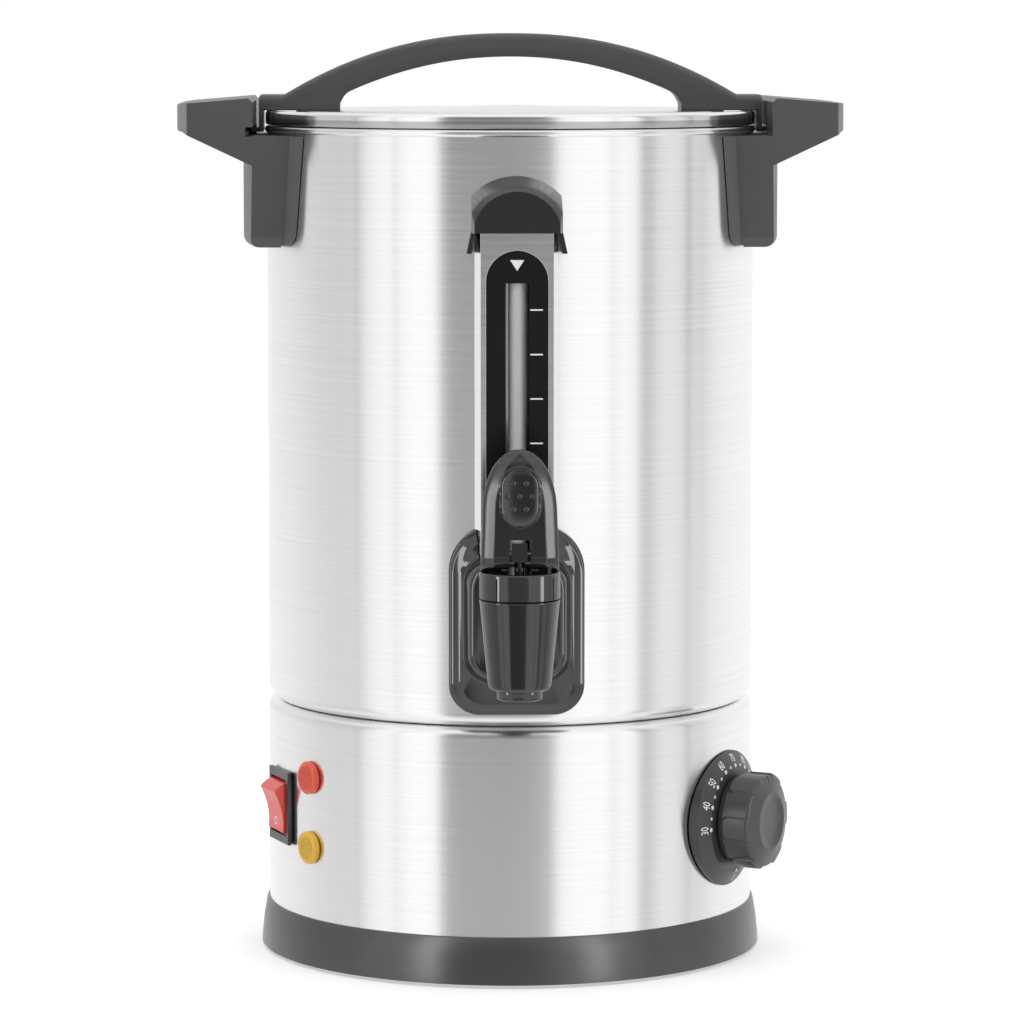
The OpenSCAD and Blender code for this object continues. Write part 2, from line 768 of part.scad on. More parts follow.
module terminal_block() {
    color("ivory") translate([0, block_y, ledge_z]) difference() {
        translate([-21, -9, 0]) cube([42, 18, 16]);
        for (x = [-12, 0, 12]) {
            translate([x, 10, 6]) rotate([90, 0, 0]) cylinder(h = 20, r = 2);
            translate([x, 0, 10]) cylinder(h = 10, r = 2.4);
        }
        for (x = [-15, 15]) translate([x, 0, -over]) cylinder(h = 5, r = 1.5 + fixed);
    }
    color("silver") for (x = [-15, 15]) translate([x, block_y, cover_z - 1.6]) {
        cylinder(h = 1.6, r = 2.8);
        cylinder(h = 5.4, r = 1.5);
    }
}

module earth_stud() {
    color("goldenrod") translate([earth_x, block_y, 0]) {
        translate([0, 0, cover_z - 2]) cylinder(h = 2, r = 3.5);
        translate([0, 0, cover_z - over]) cylinder(h = 16, r = 2);
        translate([0, 0, ledge_z]) hex_nut(3, 7, 2);
    }
}

// Point at azimuth az, r from the body axis, x across and z up
function polar(az, r, x, z) = [r * sin(az) + x * cos(az), x * sin(az) - r * cos(az), z];
function inward(az) = [-sin(az), cos(az), 0];

// Point in the base, as parts of the skirt's radius across and of the floor's height
function in_base(x, y, z) = [x * skirt_in_r, y * skirt_in_r, z * floor_z];

// Lead that leaves each terminal straight and runs through the points between
function lead(p, leave_p, between, leave_q, q) =
    spline(concat([p, p + 8 * leave_p], between, [q + 8 * leave_q, q]), 6);

module capillary_tube() {
    back_r = therm_back_r - 0.02;
    bulb_end = [26.02, -bulb_y, bulb_z];
    half_way = polar(dial_az, 0.6 * skirt_in_r, 0, 0.5 * (dial_z + bulb_z));
    color("peru") swept_tube(spline([bulb_end, bulb_end + [5, 0, 0],
        0.6 * (bulb_end + [5, 0, 0]) + 0.4 * half_way, half_way,
        polar(dial_az, back_r - 8, 0, dial_z + 8), polar(dial_az, back_r, 0, dial_z + 8)], 4), 1);
}

module wiring() {
    blade_r = skirt_r - 32.02;
    therm_blade_r = therm_back_r - 8.02;
    lamp_blade_r = skirt_r - 27.02;
    end_x = element_ring_r * sin(element_gap);
    end_y = element_ring_r * cos(element_gap);
    end_z = plate_z - 37.02;
    cut_z = plate_z - 15.02;
    in_z = ledge_z + 6;
    down = [0, 0, -1];
    in_y = block_y - 2;
    routes = [
        lead([-12, in_y, in_z], [0, -1, 0],
            [in_base(-0.28, 0.197, 0.173), in_base(-0.508, -0.016, 0.36)],
            inward(switch_az), polar(switch_az, blade_r, -5, switch_z - 7)),
        lead([0, in_y, in_z], [0, -1, 0],
            [in_base(-0.148, 0.131, 0.188), in_base(-0.41, -0.131, 0.376)],
            inward(switch_az), polar(switch_az, blade_r, 5, switch_z - 7)),
        lead(polar(switch_az, blade_r, 5, switch_z + 7), inward(switch_az),
            [in_base(-0.246, -0.36, 0.596), in_base(0.164, -0.426, 0.518)],
            inward(dial_az), polar(dial_az, therm_blade_r, -8, dial_z - 11.6)),
        lead(polar(switch_az, blade_r, -5, switch_z + 7), inward(switch_az),
            [in_base(-0.36, 0.115, 0.596), in_base(-0.18, 0.377, 0.518)],
            down, [-end_x, end_y, end_z]),
        lead(polar(dial_az, therm_blade_r, 8, dial_z - 11.6), inward(dial_az),
            [in_base(0.36, -0.164, 0.518), in_base(0.115, -0.066, 0.643)],
            down, [4, 0, cut_z]),
        lead([-4, 0, cut_z], down,
            [in_base(-0.016, 0.131, 0.675), in_base(0.049, 0.345, 0.55)],
            down, [end_x, end_y, end_z]),
        lead([12, in_y, in_z], [0, -1, 0],
            [in_base(0.19, 0.35, 0.16), in_base(0.29, 0.42, 0.24)],
            [0, 0, 1], [earth_x, block_y, cover_z + 15.02]),
        lead(polar(lamp_az, lamp_blade_r, 3, lamp_heat_z), inward(lamp_az),
            [polar(lamp_az, lamp_blade_r - 16, 3, 0.5 * (lamp_heat_z + lamp_warm_z))],
            inward(lamp_az), polar(lamp_az, lamp_blade_r, 3, lamp_warm_z))];
    color("firebrick") for (route = routes) swept_tube(route, 1.2);
}

// Tap

module tap_frame() {
    facing(0, 0) children();
}

module tap_escutcheon() {
    wall = 2.2;
    face_r = tank_r + 5.5;
    step_r = face_r + 4;
    raised_r = tank_r + 24.5;
    half = plate_w / 2;
    raised_half = half - 7.25;
    raised_foot_z = tap_z - neck_r - 2.3;
    raised_top_z = plate_top_z - 12.5;
    color([0.08, 0.08, 0.08]) difference() {
        tap_frame() difference() {
            union() {
                rounded_plate(half, plate_foot_z, plate_top_z, tank_r - 12, face_r, 15, 21.6);
                rounded_plate(half, plate_foot_z, plate_top_z, face_r, step_r, 15, 21.6, 4);
                rounded_plate(raised_half, raised_foot_z - wall, raised_top_z, face_r, raised_r,
                    13, 15, 2.5);
            }
            rounded_plate(half - wall, plate_foot_z + wall, plate_top_z - wall, tank_r - 13,
                face_r, 12.8, 19.4);
            rounded_plate(raised_half - wall, raised_foot_z, raised_top_z - wall, face_r - 2,
                raised_r - wall, 10.8, 12.8, 2.5);
            translate([0, tap_z, face_r]) cylinder(h = 40, r = neck_r + 0.2);
            guard_section(tap_z + 34.5, 40, seat);
        }
        body_cylinder(tank_r + 0.1);
    }
}

module tap_body() {
    round_r = 2.5;
    color([0.08, 0.08, 0.08]) difference() {
        union() {
            tap_frame() translate([0, tap_z, 0]) {
                translate([0, 0, tank_r - 22]) cylinder(h = 30, r = shank_r);
                translate([0, 0, washer_out_r]) cylinder(h = 3, r = washer_r);
                translate([0, 0, washer_out_r]) cylinder(h = cup_off - 2.9, r = neck_r);
            }
            translate([0, cup_y, 0]) rotate_extrude() polygon(concat(
                [[0, cup_foot_z]],
                arc([cup_foot_r - round_r, cup_foot_z + round_r], round_r, -90, -6, 6),
                [[cup_top_r, cup_top_z], [0, cup_top_z]]));
            translate([0, -glass_axis_r, tap_z]) cylinder(h = boss_top_z - tap_z, r = fitting_r);
        }
        difference() {
            body_cylinder(tank_r + seat);
            tap_frame() translate([0, tap_z, 0]) cylinder(h = tank_r + 20, r = shank_r);
        }
        tap_frame() translate([0, tap_z, 0]) difference() {
            cylinder(h = washer_out_r, r = washer_r + seat);
            translate([0, 0, -over]) cylinder(h = washer_out_r + 2 * over, r = shank_r);
        }
        tap_frame() translate([0, tap_z, 0])
            cylinder(h = tank_r + cup_off - 2, r = shank_bore_r);
        translate([0, -glass_axis_r, tap_z]) cylinder(h = 60, r = glass_r - glass_wall);
        translate([0, -glass_axis_r, boss_top_z - 9.5]) cylinder(h = 20, r = socket_r);
        translate([0, cup_y, chamber_z]) cylinder(h = cup_h, r = chamber_r);
        translate([0, cup_y, cup_foot_z - over])
            cylinder(h = cup_h, r = spout_r + 0.6 + fixed);
    }
}

// Sealing washers of the shank, shaped to the wall's curve on both sides of it
module tap_washers() {
    color([0.2, 0.2, 0.2]) {
        difference() {
            tap_frame() translate([0, tap_z, tank_r - 5])
                pipe(washer_out_r - tank_r + 5, washer_r, shank_r + fixed);
            body_cylinder(tank_r + 0.02);
        }
        intersection() {
            tap_frame() translate([0, tap_z, tank_in_r - 5]) pipe(8, washer_r, shank_r + fixed);
            body_cylinder(tank_in_r - 0.02);
        }
    }
}

module tap_nut() {
    color([0.85, 0.85, 0.82]) tap_frame() translate([0, tap_z, tank_in_r - 13])
        hex_nut(8, 30, shank_r + fixed);
}

module tap_spout() {
    color([0.08, 0.08, 0.08]) translate([0, cup_y, 0]) difference() {
        union() {
            translate([0, 0, spout_z]) cylinder(h = cup_foot_z - spout_z, r = spout_r);
            translate([0, 0, cup_foot_z]) cylinder(h = valve_z - cup_foot_z, r = spout_r + 0.6);
            translate([0, 0, chamber_z]) cylinder(h = valve_z - chamber_z, r = chamber_r - 0.1);
        }
        translate([0, 0, spout_z - over]) cylinder(h = 40, r = spout_bore_r);
    }
}

module tap_collar() {
    grooves = 8;
    groove_w = 0.8;
    color([0.09, 0.09, 0.09]) translate([0, cup_y, 0]) difference() {
        union() {
            translate([0, 0, cup_top_z]) cylinder(h = tap_collar_h, r = cup_top_r);
            translate([0, 0, bonnet_z]) cylinder(h = 8, r = chamber_r - 0.1);
        }
        translate([0, 0, bonnet_z - over]) cylinder(h = 60, r = stem_r + run);
        for (i = [0:grooves - 1]) rotate([0, 0, 360 * i / grooves - 80.5])
            translate([cup_top_r - 0.6, -groove_w / 2, cup_top_z - over])
                cube([2, groove_w, tap_collar_h - 1]);
    }
}

// Lever outlines: from the front in (x, z), and from the side in (distance ahead of the stem, z)
function lever_front(inset = 0) = let (belt_z = lever_foot_z + 0.44 * lever_h,
        top = lever_top_z - inset, half = lever_w / 2 - inset, belt = half * 0.95,
        rise = [for (i = [0:12]) i / 12])
    concat([[half, lever_foot_z - over * inset]],
        [for (t = rise) [belt * pow(1 - pow(t, 2.3), 0.5), belt_z + (top - belt_z) * t]],
        [for (i = [11:-1:0]) let (t = i / 12)
            [-belt * pow(1 - pow(t, 2.3), 0.5), belt_z + (top - belt_z) * t]],
        [[-half, lever_foot_z - over * inset]]);

function lever_side() = concat(
    arc([6, lever_foot_z + 7], 7, -90, 0),
    [[12.2, lever_foot_z + 0.36 * lever_h], [9.4, lever_foot_z + 0.64 * lever_h],
        [6.4, lever_foot_z + 0.87 * lever_h], [4.2, lever_foot_z + 0.97 * lever_h],
        [1.6, lever_top_z], [-1, lever_top_z], [-3.2, lever_foot_z + 0.96 * lever_h],
        [-3.6, lever_foot_z + 0.85 * lever_h], [-2.4, lever_foot_z + 0.6 * lever_h],
        [-7, lever_foot_z + 0.32 * lever_h], [-12, lever_foot_z + 0.2 * lever_h],
        [-12, lever_foot_z]]);

module lever_solid(half) {
    translate([-half, cup_y, 0]) rotate([90, 0, 90]) linear_extrude(height = 2 * half)
        polygon([for (p = lever_side()) [-p[0], p[1]]]);
}

module lever_hollow(half) {
    translate([-half, cup_y, 0]) rotate([90, 0, 90]) linear_extrude(height = 2 * half)
        polygon([[14, lever_foot_z - over], [14, lever_foot_z + 0.22 * lever_h],
            [5, lever_foot_z + 0.34 * lever_h], [-5, lever_foot_z + 0.34 * lever_h],
            [-9.2, lever_foot_z + 0.28 * lever_h], [-10.2, lever_foot_z + 7],
            [-10.2, lever_foot_z - over]]);
}

module tap_lever() {
    thumb_z = lever_foot_z + 0.62 * lever_h;
    thumb_r = 9.2;
    thumb_y = cup_y - 7.6;
    dots = [for (row = [-1, 0, 1], k = [0:(row == 0 ? 2 : 1)])
        [(k - (row == 0 ? 1 : 0.5)) * 6, row * 6]];
    color([0.07, 0.07, 0.07]) difference() {
        union() {
            difference() {
                intersection() {
                    lever_solid(lever_w);
                    translate([0, cup_y + lever_w, 0]) rotate([90, 0, 0])
                        linear_extrude(height = 2 * lever_w) polygon(lever_front());
                }
                lever_hollow(lever_w / 2 - 3.2);
                translate([0, thumb_y, thumb_z]) rotate([90, 0, 0]) {
                    for (s = [-1, 1]) translate([0, s * 4.05, 0]) cylinder(h = 20, r = thumb_r);
                    translate([-thumb_r, -4.05, 0]) cube([2 * thumb_r, 8.1, 20]);
                }
            }
            for (d = dots) translate([d[0], thumb_y + over, thumb_z + d[1]])
                rotate([90, 0, 0]) cylinder(h = 1.9, r = 1.6);
            for (s = [-1, 1]) intersection() {
                lever_solid(9);
                translate([s * 7 - 1.7, cup_y - 20, lever_foot_z - over])
                    cube([3.4, 40, 0.5 * lever_h]);
            }
        }
        translate([-5.15, cup_y - 30, lever_foot_z - over]) cube([10.3, 30, 15.3 + over]);
        translate([-12, cup_y, pin_z]) rotate([0, 90, 0]) cylinder(h = 24, r = pin_r + fixed);
    }
}

module lever_pin() {
    color("silver") translate([-8.6, cup_y, pin_z]) rotate([0, 90, 0])
        cylinder(h = 17.2, r = pin_r);
}

module valve_stem() {
    color("gainsboro") translate([0, cup_y, 0]) difference() {
        union() {
            translate([0, 0, valve_z + 1.5]) cylinder(h = pin_z - valve_z - 1.5, r = stem_r);
            translate([-3.6, -3, pin_z - 4]) cube([7.2, 6, 9]);
        }
        translate([-10, 0, pin_z]) rotate([0, 90, 0]) cylinder(h = 20, r = pin_r + run);
    }
}

module valve_seal() {
    color("white") translate([0, cup_y, 0]) difference() {
        union() {
            translate([0, 0, valve_z]) cylinder(h = plug_t, r = 9.6);
            translate([0, 0, valve_z - 3.5]) cylinder(h = 4, r1 = 3.5, r2 = spout_bore_r - 0.4);
        }
        translate([0, 0, valve_z + 1.5]) cylinder(h = plug_t, r = stem_r + fixed);
    }
}

module tap_spring() {
    turns = 6;
    steps = 12;
    wire_r = 0.6;
    low_z = valve_z + plug_t + wire_r + 0.05;
    high_z = bonnet_z - wire_r - 0.05;
    color("silver") translate([0, cup_y, 0]) swept_tube(
        [for (i = [0:turns * steps]) let (a = 360 * i / steps)
            [7 * cos(a), 7 * sin(a), low_z + (high_z - low_z) * i / (turns * steps)]],
        wire_r);
}

// Gauge

// Outer section of the guard channel, grown by a clearance, from height z upwards
module guard_section(z, h, grow = 0) {
    translate([0, z, 0]) rotate([-90, 0, 0]) linear_extrude(height = h) polygon([
        [-guard_w / 2 - grow, -tank_r + 14], [guard_w / 2 + grow, -tank_r + 14],
        [guard_w / 2 + grow, -tank_r], [guard_face_w / 2 + grow, -guard_out_r - grow],
        [-guard_face_w / 2 - grow, -guard_out_r - grow], [-guard_w / 2 - grow, -tank_r]]);
}

guard_foot_z = tap_z + 36.5;
guard_top_z = fitting_z - 11.5;

module gauge_guard() {
    slot_r = guard_slot_w / 2;
    slot_top = window_top_z + 15.5;
    color("silver") difference() {
        tap_frame() difference() {
            guard_section(guard_foot_z, guard_top_z - guard_foot_z);
            translate([0, guard_foot_z - over, 0]) rotate([-90, 0, 0])
                linear_extrude(height = rim_z) polygon([
                    [-guard_w / 2 + sheet, 0], [guard_w / 2 - sheet, 0],
                    [guard_w / 2 - sheet, -tank_r], [guard_face_w / 2 - sheet, -guard_in_r],
                    [-guard_face_w / 2 + sheet, -guard_in_r], [-guard_w / 2 + sheet, -tank_r]]);
            translate([0, slot_top - slot_r, guard_in_r - over]) cylinder(h = 5, r = slot_r);
            translate([-slot_r, guard_foot_z + 6, guard_in_r - over])
                cube([guard_slot_w, slot_top - slot_r - guard_foot_z - 6, 5]);
        }
        body_cylinder(tank_r + 0.1);
    }
}

module gauge_scale() {
    half = guard_face_w / 2 - sheet - 0.4;
    color([0.1, 0.1, 0.1]) tap_frame() difference() {
        translate([-half, guard_foot_z, scale_in_r])
            cube([2 * half, guard_top_z - guard_foot_z - 1, scale_t]);
        translate([-window_w / 2, guard_foot_z + 8, scale_in_r - over])
            cube([window_w, window_top_z - guard_foot_z - 8, scale_t + 2 * over]);
    }
}

module gauge_tube() {
    glass_foot_z = boss_top_z - 8;
    glass_top_z = fitting_z - 4;
    color([0.8, 0.9, 0.95, 0.5]) translate([0, -glass_axis_r, glass_foot_z])
        pipe(glass_top_z - glass_foot_z, glass_r, glass_r - glass_wall);
}

module gauge_seals() {
    color([0.85, 0.3, 0.2]) translate([0, -glass_axis_r, 0]) {
        translate([0, 0, boss_top_z - 8]) pipe(8, socket_r - fixed, glass_r + fixed);
        translate([0, 0, fitting_z - 10.5]) pipe(6.5, socket_r - fixed, glass_r + fixed);
    }
}

module gauge_fitting() {
    color([0.15, 0.15, 0.15]) difference() {
        union() {
            translate([0, -glass_axis_r, fitting_z - 11]) cylinder(h = 17, r = fitting_r);
            tap_frame() translate([0, fitting_z, tank_r - 18]) cylinder(h = 18 + glass_off, r = 5);
        }
        difference() {
            body_cylinder(tank_r + seat);
            tap_frame() translate([0, fitting_z, 0]) cylinder(h = tank_r + 20, r = 5);
        }
        translate([0, -glass_axis_r, fitting_z - 12]) cylinder(h = 9, r = socket_r);
        translate([0, -glass_axis_r, fitting_z - 12])
            cylinder(h = 12, r = glass_r - glass_wall);
        tap_frame() translate([0, fitting_z, 0]) cylinder(h = glass_axis_r, r = 2.5);
    }
}

module gauge_nut() {
    nut_out_r = chord(tank_in_r, 9.3) - 0.05;
    color("goldenrod") tap_frame() translate([0, fitting_z, nut_out_r - 5])
        hex_nut(5, 16, 5 + fixed);
}

// Cap with a top that slopes forward and an ear down each side of the guard
module gauge_cap() {
    half = cap_w / 2;
    cap_foot_z = rim_z - 48.7;
    crown_r = 28;
    crown_z = rim_z - 22.1 - crown_r;
    fall = 3.8;
    slope = fall / (cap_body_r - tank_r);
    bevel = 1.7;
    ear_h = 10;
    ear_out = half + 2.4;
    color([0.12, 0.12, 0.12]) difference() {
        tap_frame() difference() {
            union() {
                intersection() {
                    union() {
                        translate([0, crown_z, tank_r - 12]) cylinder(h = cap_body_r - tank_r + 12,
                            r1 = crown_r + 12 * slope, r2 = crown_r - fall, $fn = 96);
                        translate([0, crown_z, cap_body_r])
                            cylinder(h = cap_front_r - cap_body_r, r1 = crown_r - fall,
                                r2 = crown_r - fall - 3, $fn = 96);
                    }
                    translate([0, cap_foot_z, 0]) rotate([-90, 0, 0])
                        linear_extrude(height = 2 * crown_r) polygon([
                            [-half, -tank_r + 13], [half, -tank_r + 13], [half, -cap_body_r],
                            [half - bevel, -cap_front_r - over],
                            [-half + bevel, -cap_front_r - over], [-half, -cap_body_r]]);
                }
                for (s = [-1, 1]) translate([0, 0, tank_r - 12]) linear_extrude(height = 24)
                    polygon([[s * (half - 1.3), cap_foot_z + over],
                        [s * half, cap_foot_z + over], [s * ear_out, cap_foot_z - ear_h],
                        [s * (ear_out - 2.5), cap_foot_z - ear_h]]);
            }
            translate([0, cap_foot_z - 20, 0]) rotate([-90, 0, 0]) linear_extrude(height = 26.7)
                polygon([[-guard_w / 2 - seat, 0], [guard_w / 2 + seat, 0],
                    [guard_w / 2 + seat, -guard_out_r - seat],
                    [-guard_w / 2 - seat, -guard_out_r - seat]]);
            translate([0, cap_foot_z - over, glass_axis_r]) rotate([-90, 0, 0])
                cylinder(h = fitting_z + 6.3 - cap_foot_z + over, r = fitting_r + seat);
            translate([-fitting_r - seat, cap_foot_z, 0])
                cube([2 * (fitting_r + seat), fitting_z + 6.3 - cap_foot_z, glass_axis_r]);
        }
        body_cylinder(tank_r + 0.1);
    }
}

// Lid

module lid() {
    hem = 2 * sheet;
    edge_round = 2;
    plug_r = tank_in_r - bead_r - 2.2;
    panel_r = plug_r - channel_w - 5;
    dome_r = 72;
    low_z = lid_top_z - channel_d;
    top_line = concat([for (i = [0:6]) let (x = dome_r * i / 6)
            [x, lid_top_z + dome_rise * cos(90 * i / 6) * cos(90 * i / 6)]],
        [[panel_r, lid_top_z], [panel_r + 2.5, low_z], [plug_r - 0.6, low_z],
            [plug_r, low_z + 1], [plug_r, lid_top_z]],
        arc([lid_r - edge_round, lid_top_z - edge_round], edge_round, 90, 0, 5));
    under_line = concat([[plug_r + sheet, lid_top_z - sheet],
            [plug_r + sheet, low_z + 1 - sheet], [plug_r - 0.6 + sheet / 2, low_z - sheet],
            [panel_r + 2.5 - sheet, low_z - sheet], [panel_r - sheet, lid_top_z - sheet]],
        [for (i = [6:-1:0]) let (x = dome_r * i / 6)
            [x, lid_top_z - sheet + dome_rise * cos(90 * i / 6) * cos(90 * i / 6)]]);
    color("silver") difference() {
        rotate_extrude($fn = 180) polygon(concat(top_line,
            [[lid_r, rim_z + seat], [lid_r - hem, rim_z + seat],
                [lid_r - hem, lid_top_z - edge_round]],
            [[lid_r - edge_round - 0.6, lid_top_z - sheet]], under_line));
        at_lid_screws() cylinder(h = 40, r = 2.2);
    }
}

module at_lid_screws() {
    for (sx = [-1, 1], sy = [-1, 1]) translate([sx * (foot_in_x + 7), sy * 9, lid_top_z - 8])
        children();
}

module lid_screws() {
    color("silver") at_lid_screws() {
        translate([0, 0, 8 - sheet - 2.4]) cylinder(h = 2.4, r = 3.6);
        translate([0, 0, 8 - sheet - over]) cylinder(h = 14, r = 2);
    }
}

// Height of the arch's upper and lower line at x
function arch_top(x) = arch_top_z - (arch_top_z - end_top_z) * pow(x / (end_in_x - 10.5), 2.246);
function arch_low(x) = arch_top_z - arch_t - 19.5 * pow(x / foot_in_x, 2.09);

module lid_handle() {
    steps = 14;
    bend_x = end_in_x - 10.5;
    top_half = concat([for (i = [0:steps]) let (x = bend_x * i / steps) [x, arch_top(x)]],
        [[bend_x + 3, end_top_z], [end_out_x - 1, end_top_z], [end_out_x, end_top_z - 1]],
        [[end_out_x, lug_z + lug_t], [end_out_x + lug_reach, lug_z + lug_t],
            [end_out_x + lug_reach, lug_z], [end_in_x, lug_z], [end_in_x, lid_top_z],
            [foot_in_x, lid_top_z]],
        [for (i = [steps:-1:1]) let (x = (foot_in_x - 1) * i / steps) [x, arch_low(x)]]);
    color([0.22, 0.22, 0.23]) difference() {
        for (s = [0, 180]) rotate([0, 0, s]) translate([0, arch_depth / 2, 0]) rotate([90, 0, 0])
            linear_extrude(height = arch_depth) polygon(concat(top_half,
                [[0, arch_top_z - arch_t]]));
        for (s = [-1, 1], t = [-1, 1]) translate([s * (end_out_x + 10), t * (lug_w / 2 + 10), 0])
            translate([-9.8, -10, lug_z - over]) cube([19.6, 20, 4]);
        at_lid_screws() cylinder(h = 22, r = 2 + fixed);
    }
}

// Side handles, drawn on the +X side

module handle_bolts() {
    for (az = [-90, 90], s = [-1, 1]) facing(az + s * handle_bolt_az, handle_bolt_z) children();
}

// Section of the grip and of the top of the bracket, with the sloping underside
module grip_section() {
    under_x = grip_tip_x - 4;
    under_z = platform_z + 2;
    slope = 0.473;
    polygon(concat([[tank_r - 25, under_z - slope * (under_x - tank_r + 25)], [under_x, under_z]],
        arc([grip_tip_x - 3, platform_z + 4.6], 3, -60, 0, 3),
        arc([grip_tip_x - 3, slot_top_z + grip_t - 5.8], 3, 0, 85, 4),
        [[grip_in_x + 2, slot_top_z + grip_t], [grip_in_x, slot_top_z + grip_t - 2],
            [grip_in_x, platform_z], [tank_r - 25, platform_z]]));
}

// Upright of the bracket, its outer face slightly convex from front to back
module upright() {
    turn_x = upright_x - upright_round_r;
    translate([turn_x, 0, 0]) rotate([0, 0, -20]) rotate_extrude(angle = 40, $fn = 360)
        polygon(concat([[tank_r - 25 - turn_x, bracket_foot_z]],
            arc([upright_round_r - 4.5, bracket_foot_z + 4.5], 4.5, -90, 0, 5),
            [[upright_round_r, platform_z - 4], [tank_r - 25 - turn_x, platform_z - 4]]));
}

module side_handle() {
    top_z = slot_top_z + grip_t + over;
    color([0.22, 0.22, 0.23]) difference() {
        intersection() {
            union() {
                translate([0, bracket_half + over, 0]) rotate([90, 0, 0])
                    linear_extrude(height = 2 * (bracket_half + over)) grip_section();
                upright();
            }
            rotate([90, 0, 90]) linear_extrude(height = grip_tip_x + over) polygon([
                [-bracket_half, top_z], [-bracket_half, platform_z],
                [-bracket_foot_half - 1, bracket_foot_z + 5],
                [-bracket_foot_half + 3, bracket_foot_z - over],
                [bracket_foot_half - 3, bracket_foot_z - over],
                [bracket_foot_half + 1, bracket_foot_z + 5],
                [bracket_half, platform_z], [bracket_half, top_z]]);
            translate([grip_tip_x - tip_round_r, 0, 0]) cylinder(h = top_z, r = tip_round_r,
                $fn = 360);
        }
        body_cylinder(pad_r + 0.05);
        translate([0, -lug_w / 2 - 1, platform_z])
            cube([slot_end_x, bracket_half + lug_w, slot_h]);
        handle_bolts() translate([0, 0, tank_r]) cylinder(h = 10.3, r = 2.5 + fixed);
    }
}

module handle_pad() {
    foot_z = bracket_foot_z + 1;
    color([0.3, 0.3, 0.31]) difference() {
        intersection() {
            translate([0, 0, foot_z]) pipe(platform_z - foot_z, pad_r, tank_r + 0.1, $fn = 180);
            rotate([90, 0, 90]) linear_extrude(height = pad_r + over) polygon(concat(
                [[pad_half, platform_z]], [[-pad_half, platform_z]],
                arc([-pad_half + 14, foot_z + 8], 8, 180, 270, 5),
                arc([pad_half - 14, foot_z + 8], 8, 270, 360, 5)));
        }
        handle_bolts() translate([0, 0, tank_r - 10]) cylinder(h = 20, r = 2.5 + through);
    }
}

module side_handle_right() {
    side_handle();
}

module side_handle_left() {
    rotate([0, 0, 180]) side_handle();
}

module handle_pad_right() {
    handle_pad();
}

module handle_pad_left() {
    rotate([0, 0, 180]) handle_pad();
}

module handle_screws() {
    head_r = chord(tank_in_r, 4.5) - 0.05;
    color("silver") handle_bolts() translate([0, 0, head_r]) {
        translate([0, 0, -3]) cylinder(h = 3, r1 = 3, r2 = 4.5);
        translate([0, 0, -over]) cylinder(h = tank_r + 10 - head_r + over, r = 2.5);
    }
}

tank();
lower_shell();
base_ring();
bottom_cover();
foot_ring();
tie_studs();
tie_nuts();
heater_plate();
heater_element();
heater_terminals();
cutout();
cutout_screws();
thermostat_body();
thermostat_shaft();
thermostat_bezel();
thermostat_knob();
thermostat_screws();
capillary_tube();
sensor_bulb();
bulb_clip();
switch_body();
switch_rocker();
lamp_heat_lens();
lamp_warm_lens();
lamp_bodies();
lamp_clips();
cable_gland();
gland_nut();
terminal_block();
earth_stud();
wiring();
tap_escutcheon();
tap_body();
tap_washers();
tap_nut();
tap_spout();
tap_collar();
tap_lever();
lever_pin();
valve_stem();
valve_seal();
tap_spring();
gauge_tube();
gauge_guard();
gauge_scale();
gauge_cap();
gauge_fitting();
gauge_nut();
gauge_seals();
lid();
lid_handle();
lid_screws();
side_handle_left();
side_handle_right();
handle_pad_left();
handle_pad_right();
handle_screws();
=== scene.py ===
import math

import bmesh
import bpy
from mathutils import Matrix, Vector


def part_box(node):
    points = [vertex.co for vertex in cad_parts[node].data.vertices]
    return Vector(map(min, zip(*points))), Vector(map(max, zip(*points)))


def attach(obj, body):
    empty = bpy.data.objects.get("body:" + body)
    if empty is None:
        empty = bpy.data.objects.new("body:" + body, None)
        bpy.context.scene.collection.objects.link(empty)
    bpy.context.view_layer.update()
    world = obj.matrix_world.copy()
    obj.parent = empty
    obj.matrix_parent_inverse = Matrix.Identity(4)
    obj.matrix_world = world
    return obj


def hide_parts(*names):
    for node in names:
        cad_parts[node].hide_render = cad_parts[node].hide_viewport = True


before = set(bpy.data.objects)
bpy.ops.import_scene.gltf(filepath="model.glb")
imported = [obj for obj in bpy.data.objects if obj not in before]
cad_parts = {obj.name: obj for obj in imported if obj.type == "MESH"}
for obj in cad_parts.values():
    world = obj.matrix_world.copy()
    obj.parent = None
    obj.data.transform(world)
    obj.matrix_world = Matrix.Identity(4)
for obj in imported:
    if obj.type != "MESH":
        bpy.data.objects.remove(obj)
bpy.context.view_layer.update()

MM = 0.001  # a millimetre in Blender's metres

# Sizes in millimetres and angles in degrees, the same as in the CAD source
TANK_R, SHEET, FLOOR_Z, RIM_Z = 122.5, 0.8, 127.5, 416.2
BEAD_R, BEAD_MID = 1.9, 121.4
SKIRT_R, SHOULDER_R, RING_TOP = 122.7, 5.4, 24.8
LID_R, LID_TOP = 123.0, 423.5
CUP_Y = -178.0
TAP_Z, CUP_FOOT, CUP_TOP, COLLAR_TOP = 169.5, 154.5, 197.6, 210.7
LEVER_FOOT, LEVER_H, LEVER_W = 211.2, 56.8, 36.9
DIAL_AZ, DIAL_Z, DIAL_FRONT, KNOB_BACK, KNOB_D = 60.0, 73.0, 127.6, 128.2, 19.7
SWITCH_AZ, SWITCH_Z, ROCKER_R, ROCKER_TILT = -70.0, 77.0, 119.7, 12.0
LAMP_AZ, LENS_R, LAMP_ZS = -55.0, 8.15, {"heat": 95.4, "warm": 60.4}
GLASS_Y = -129.4
PLATE_FOOT, PLATE_TOP, RAISED_FOOT, RAISED_TOP = TAP_Z - 34.8, TAP_Z + 57, 152.0, 214.0


# ---------------------------------------------------------------- materials

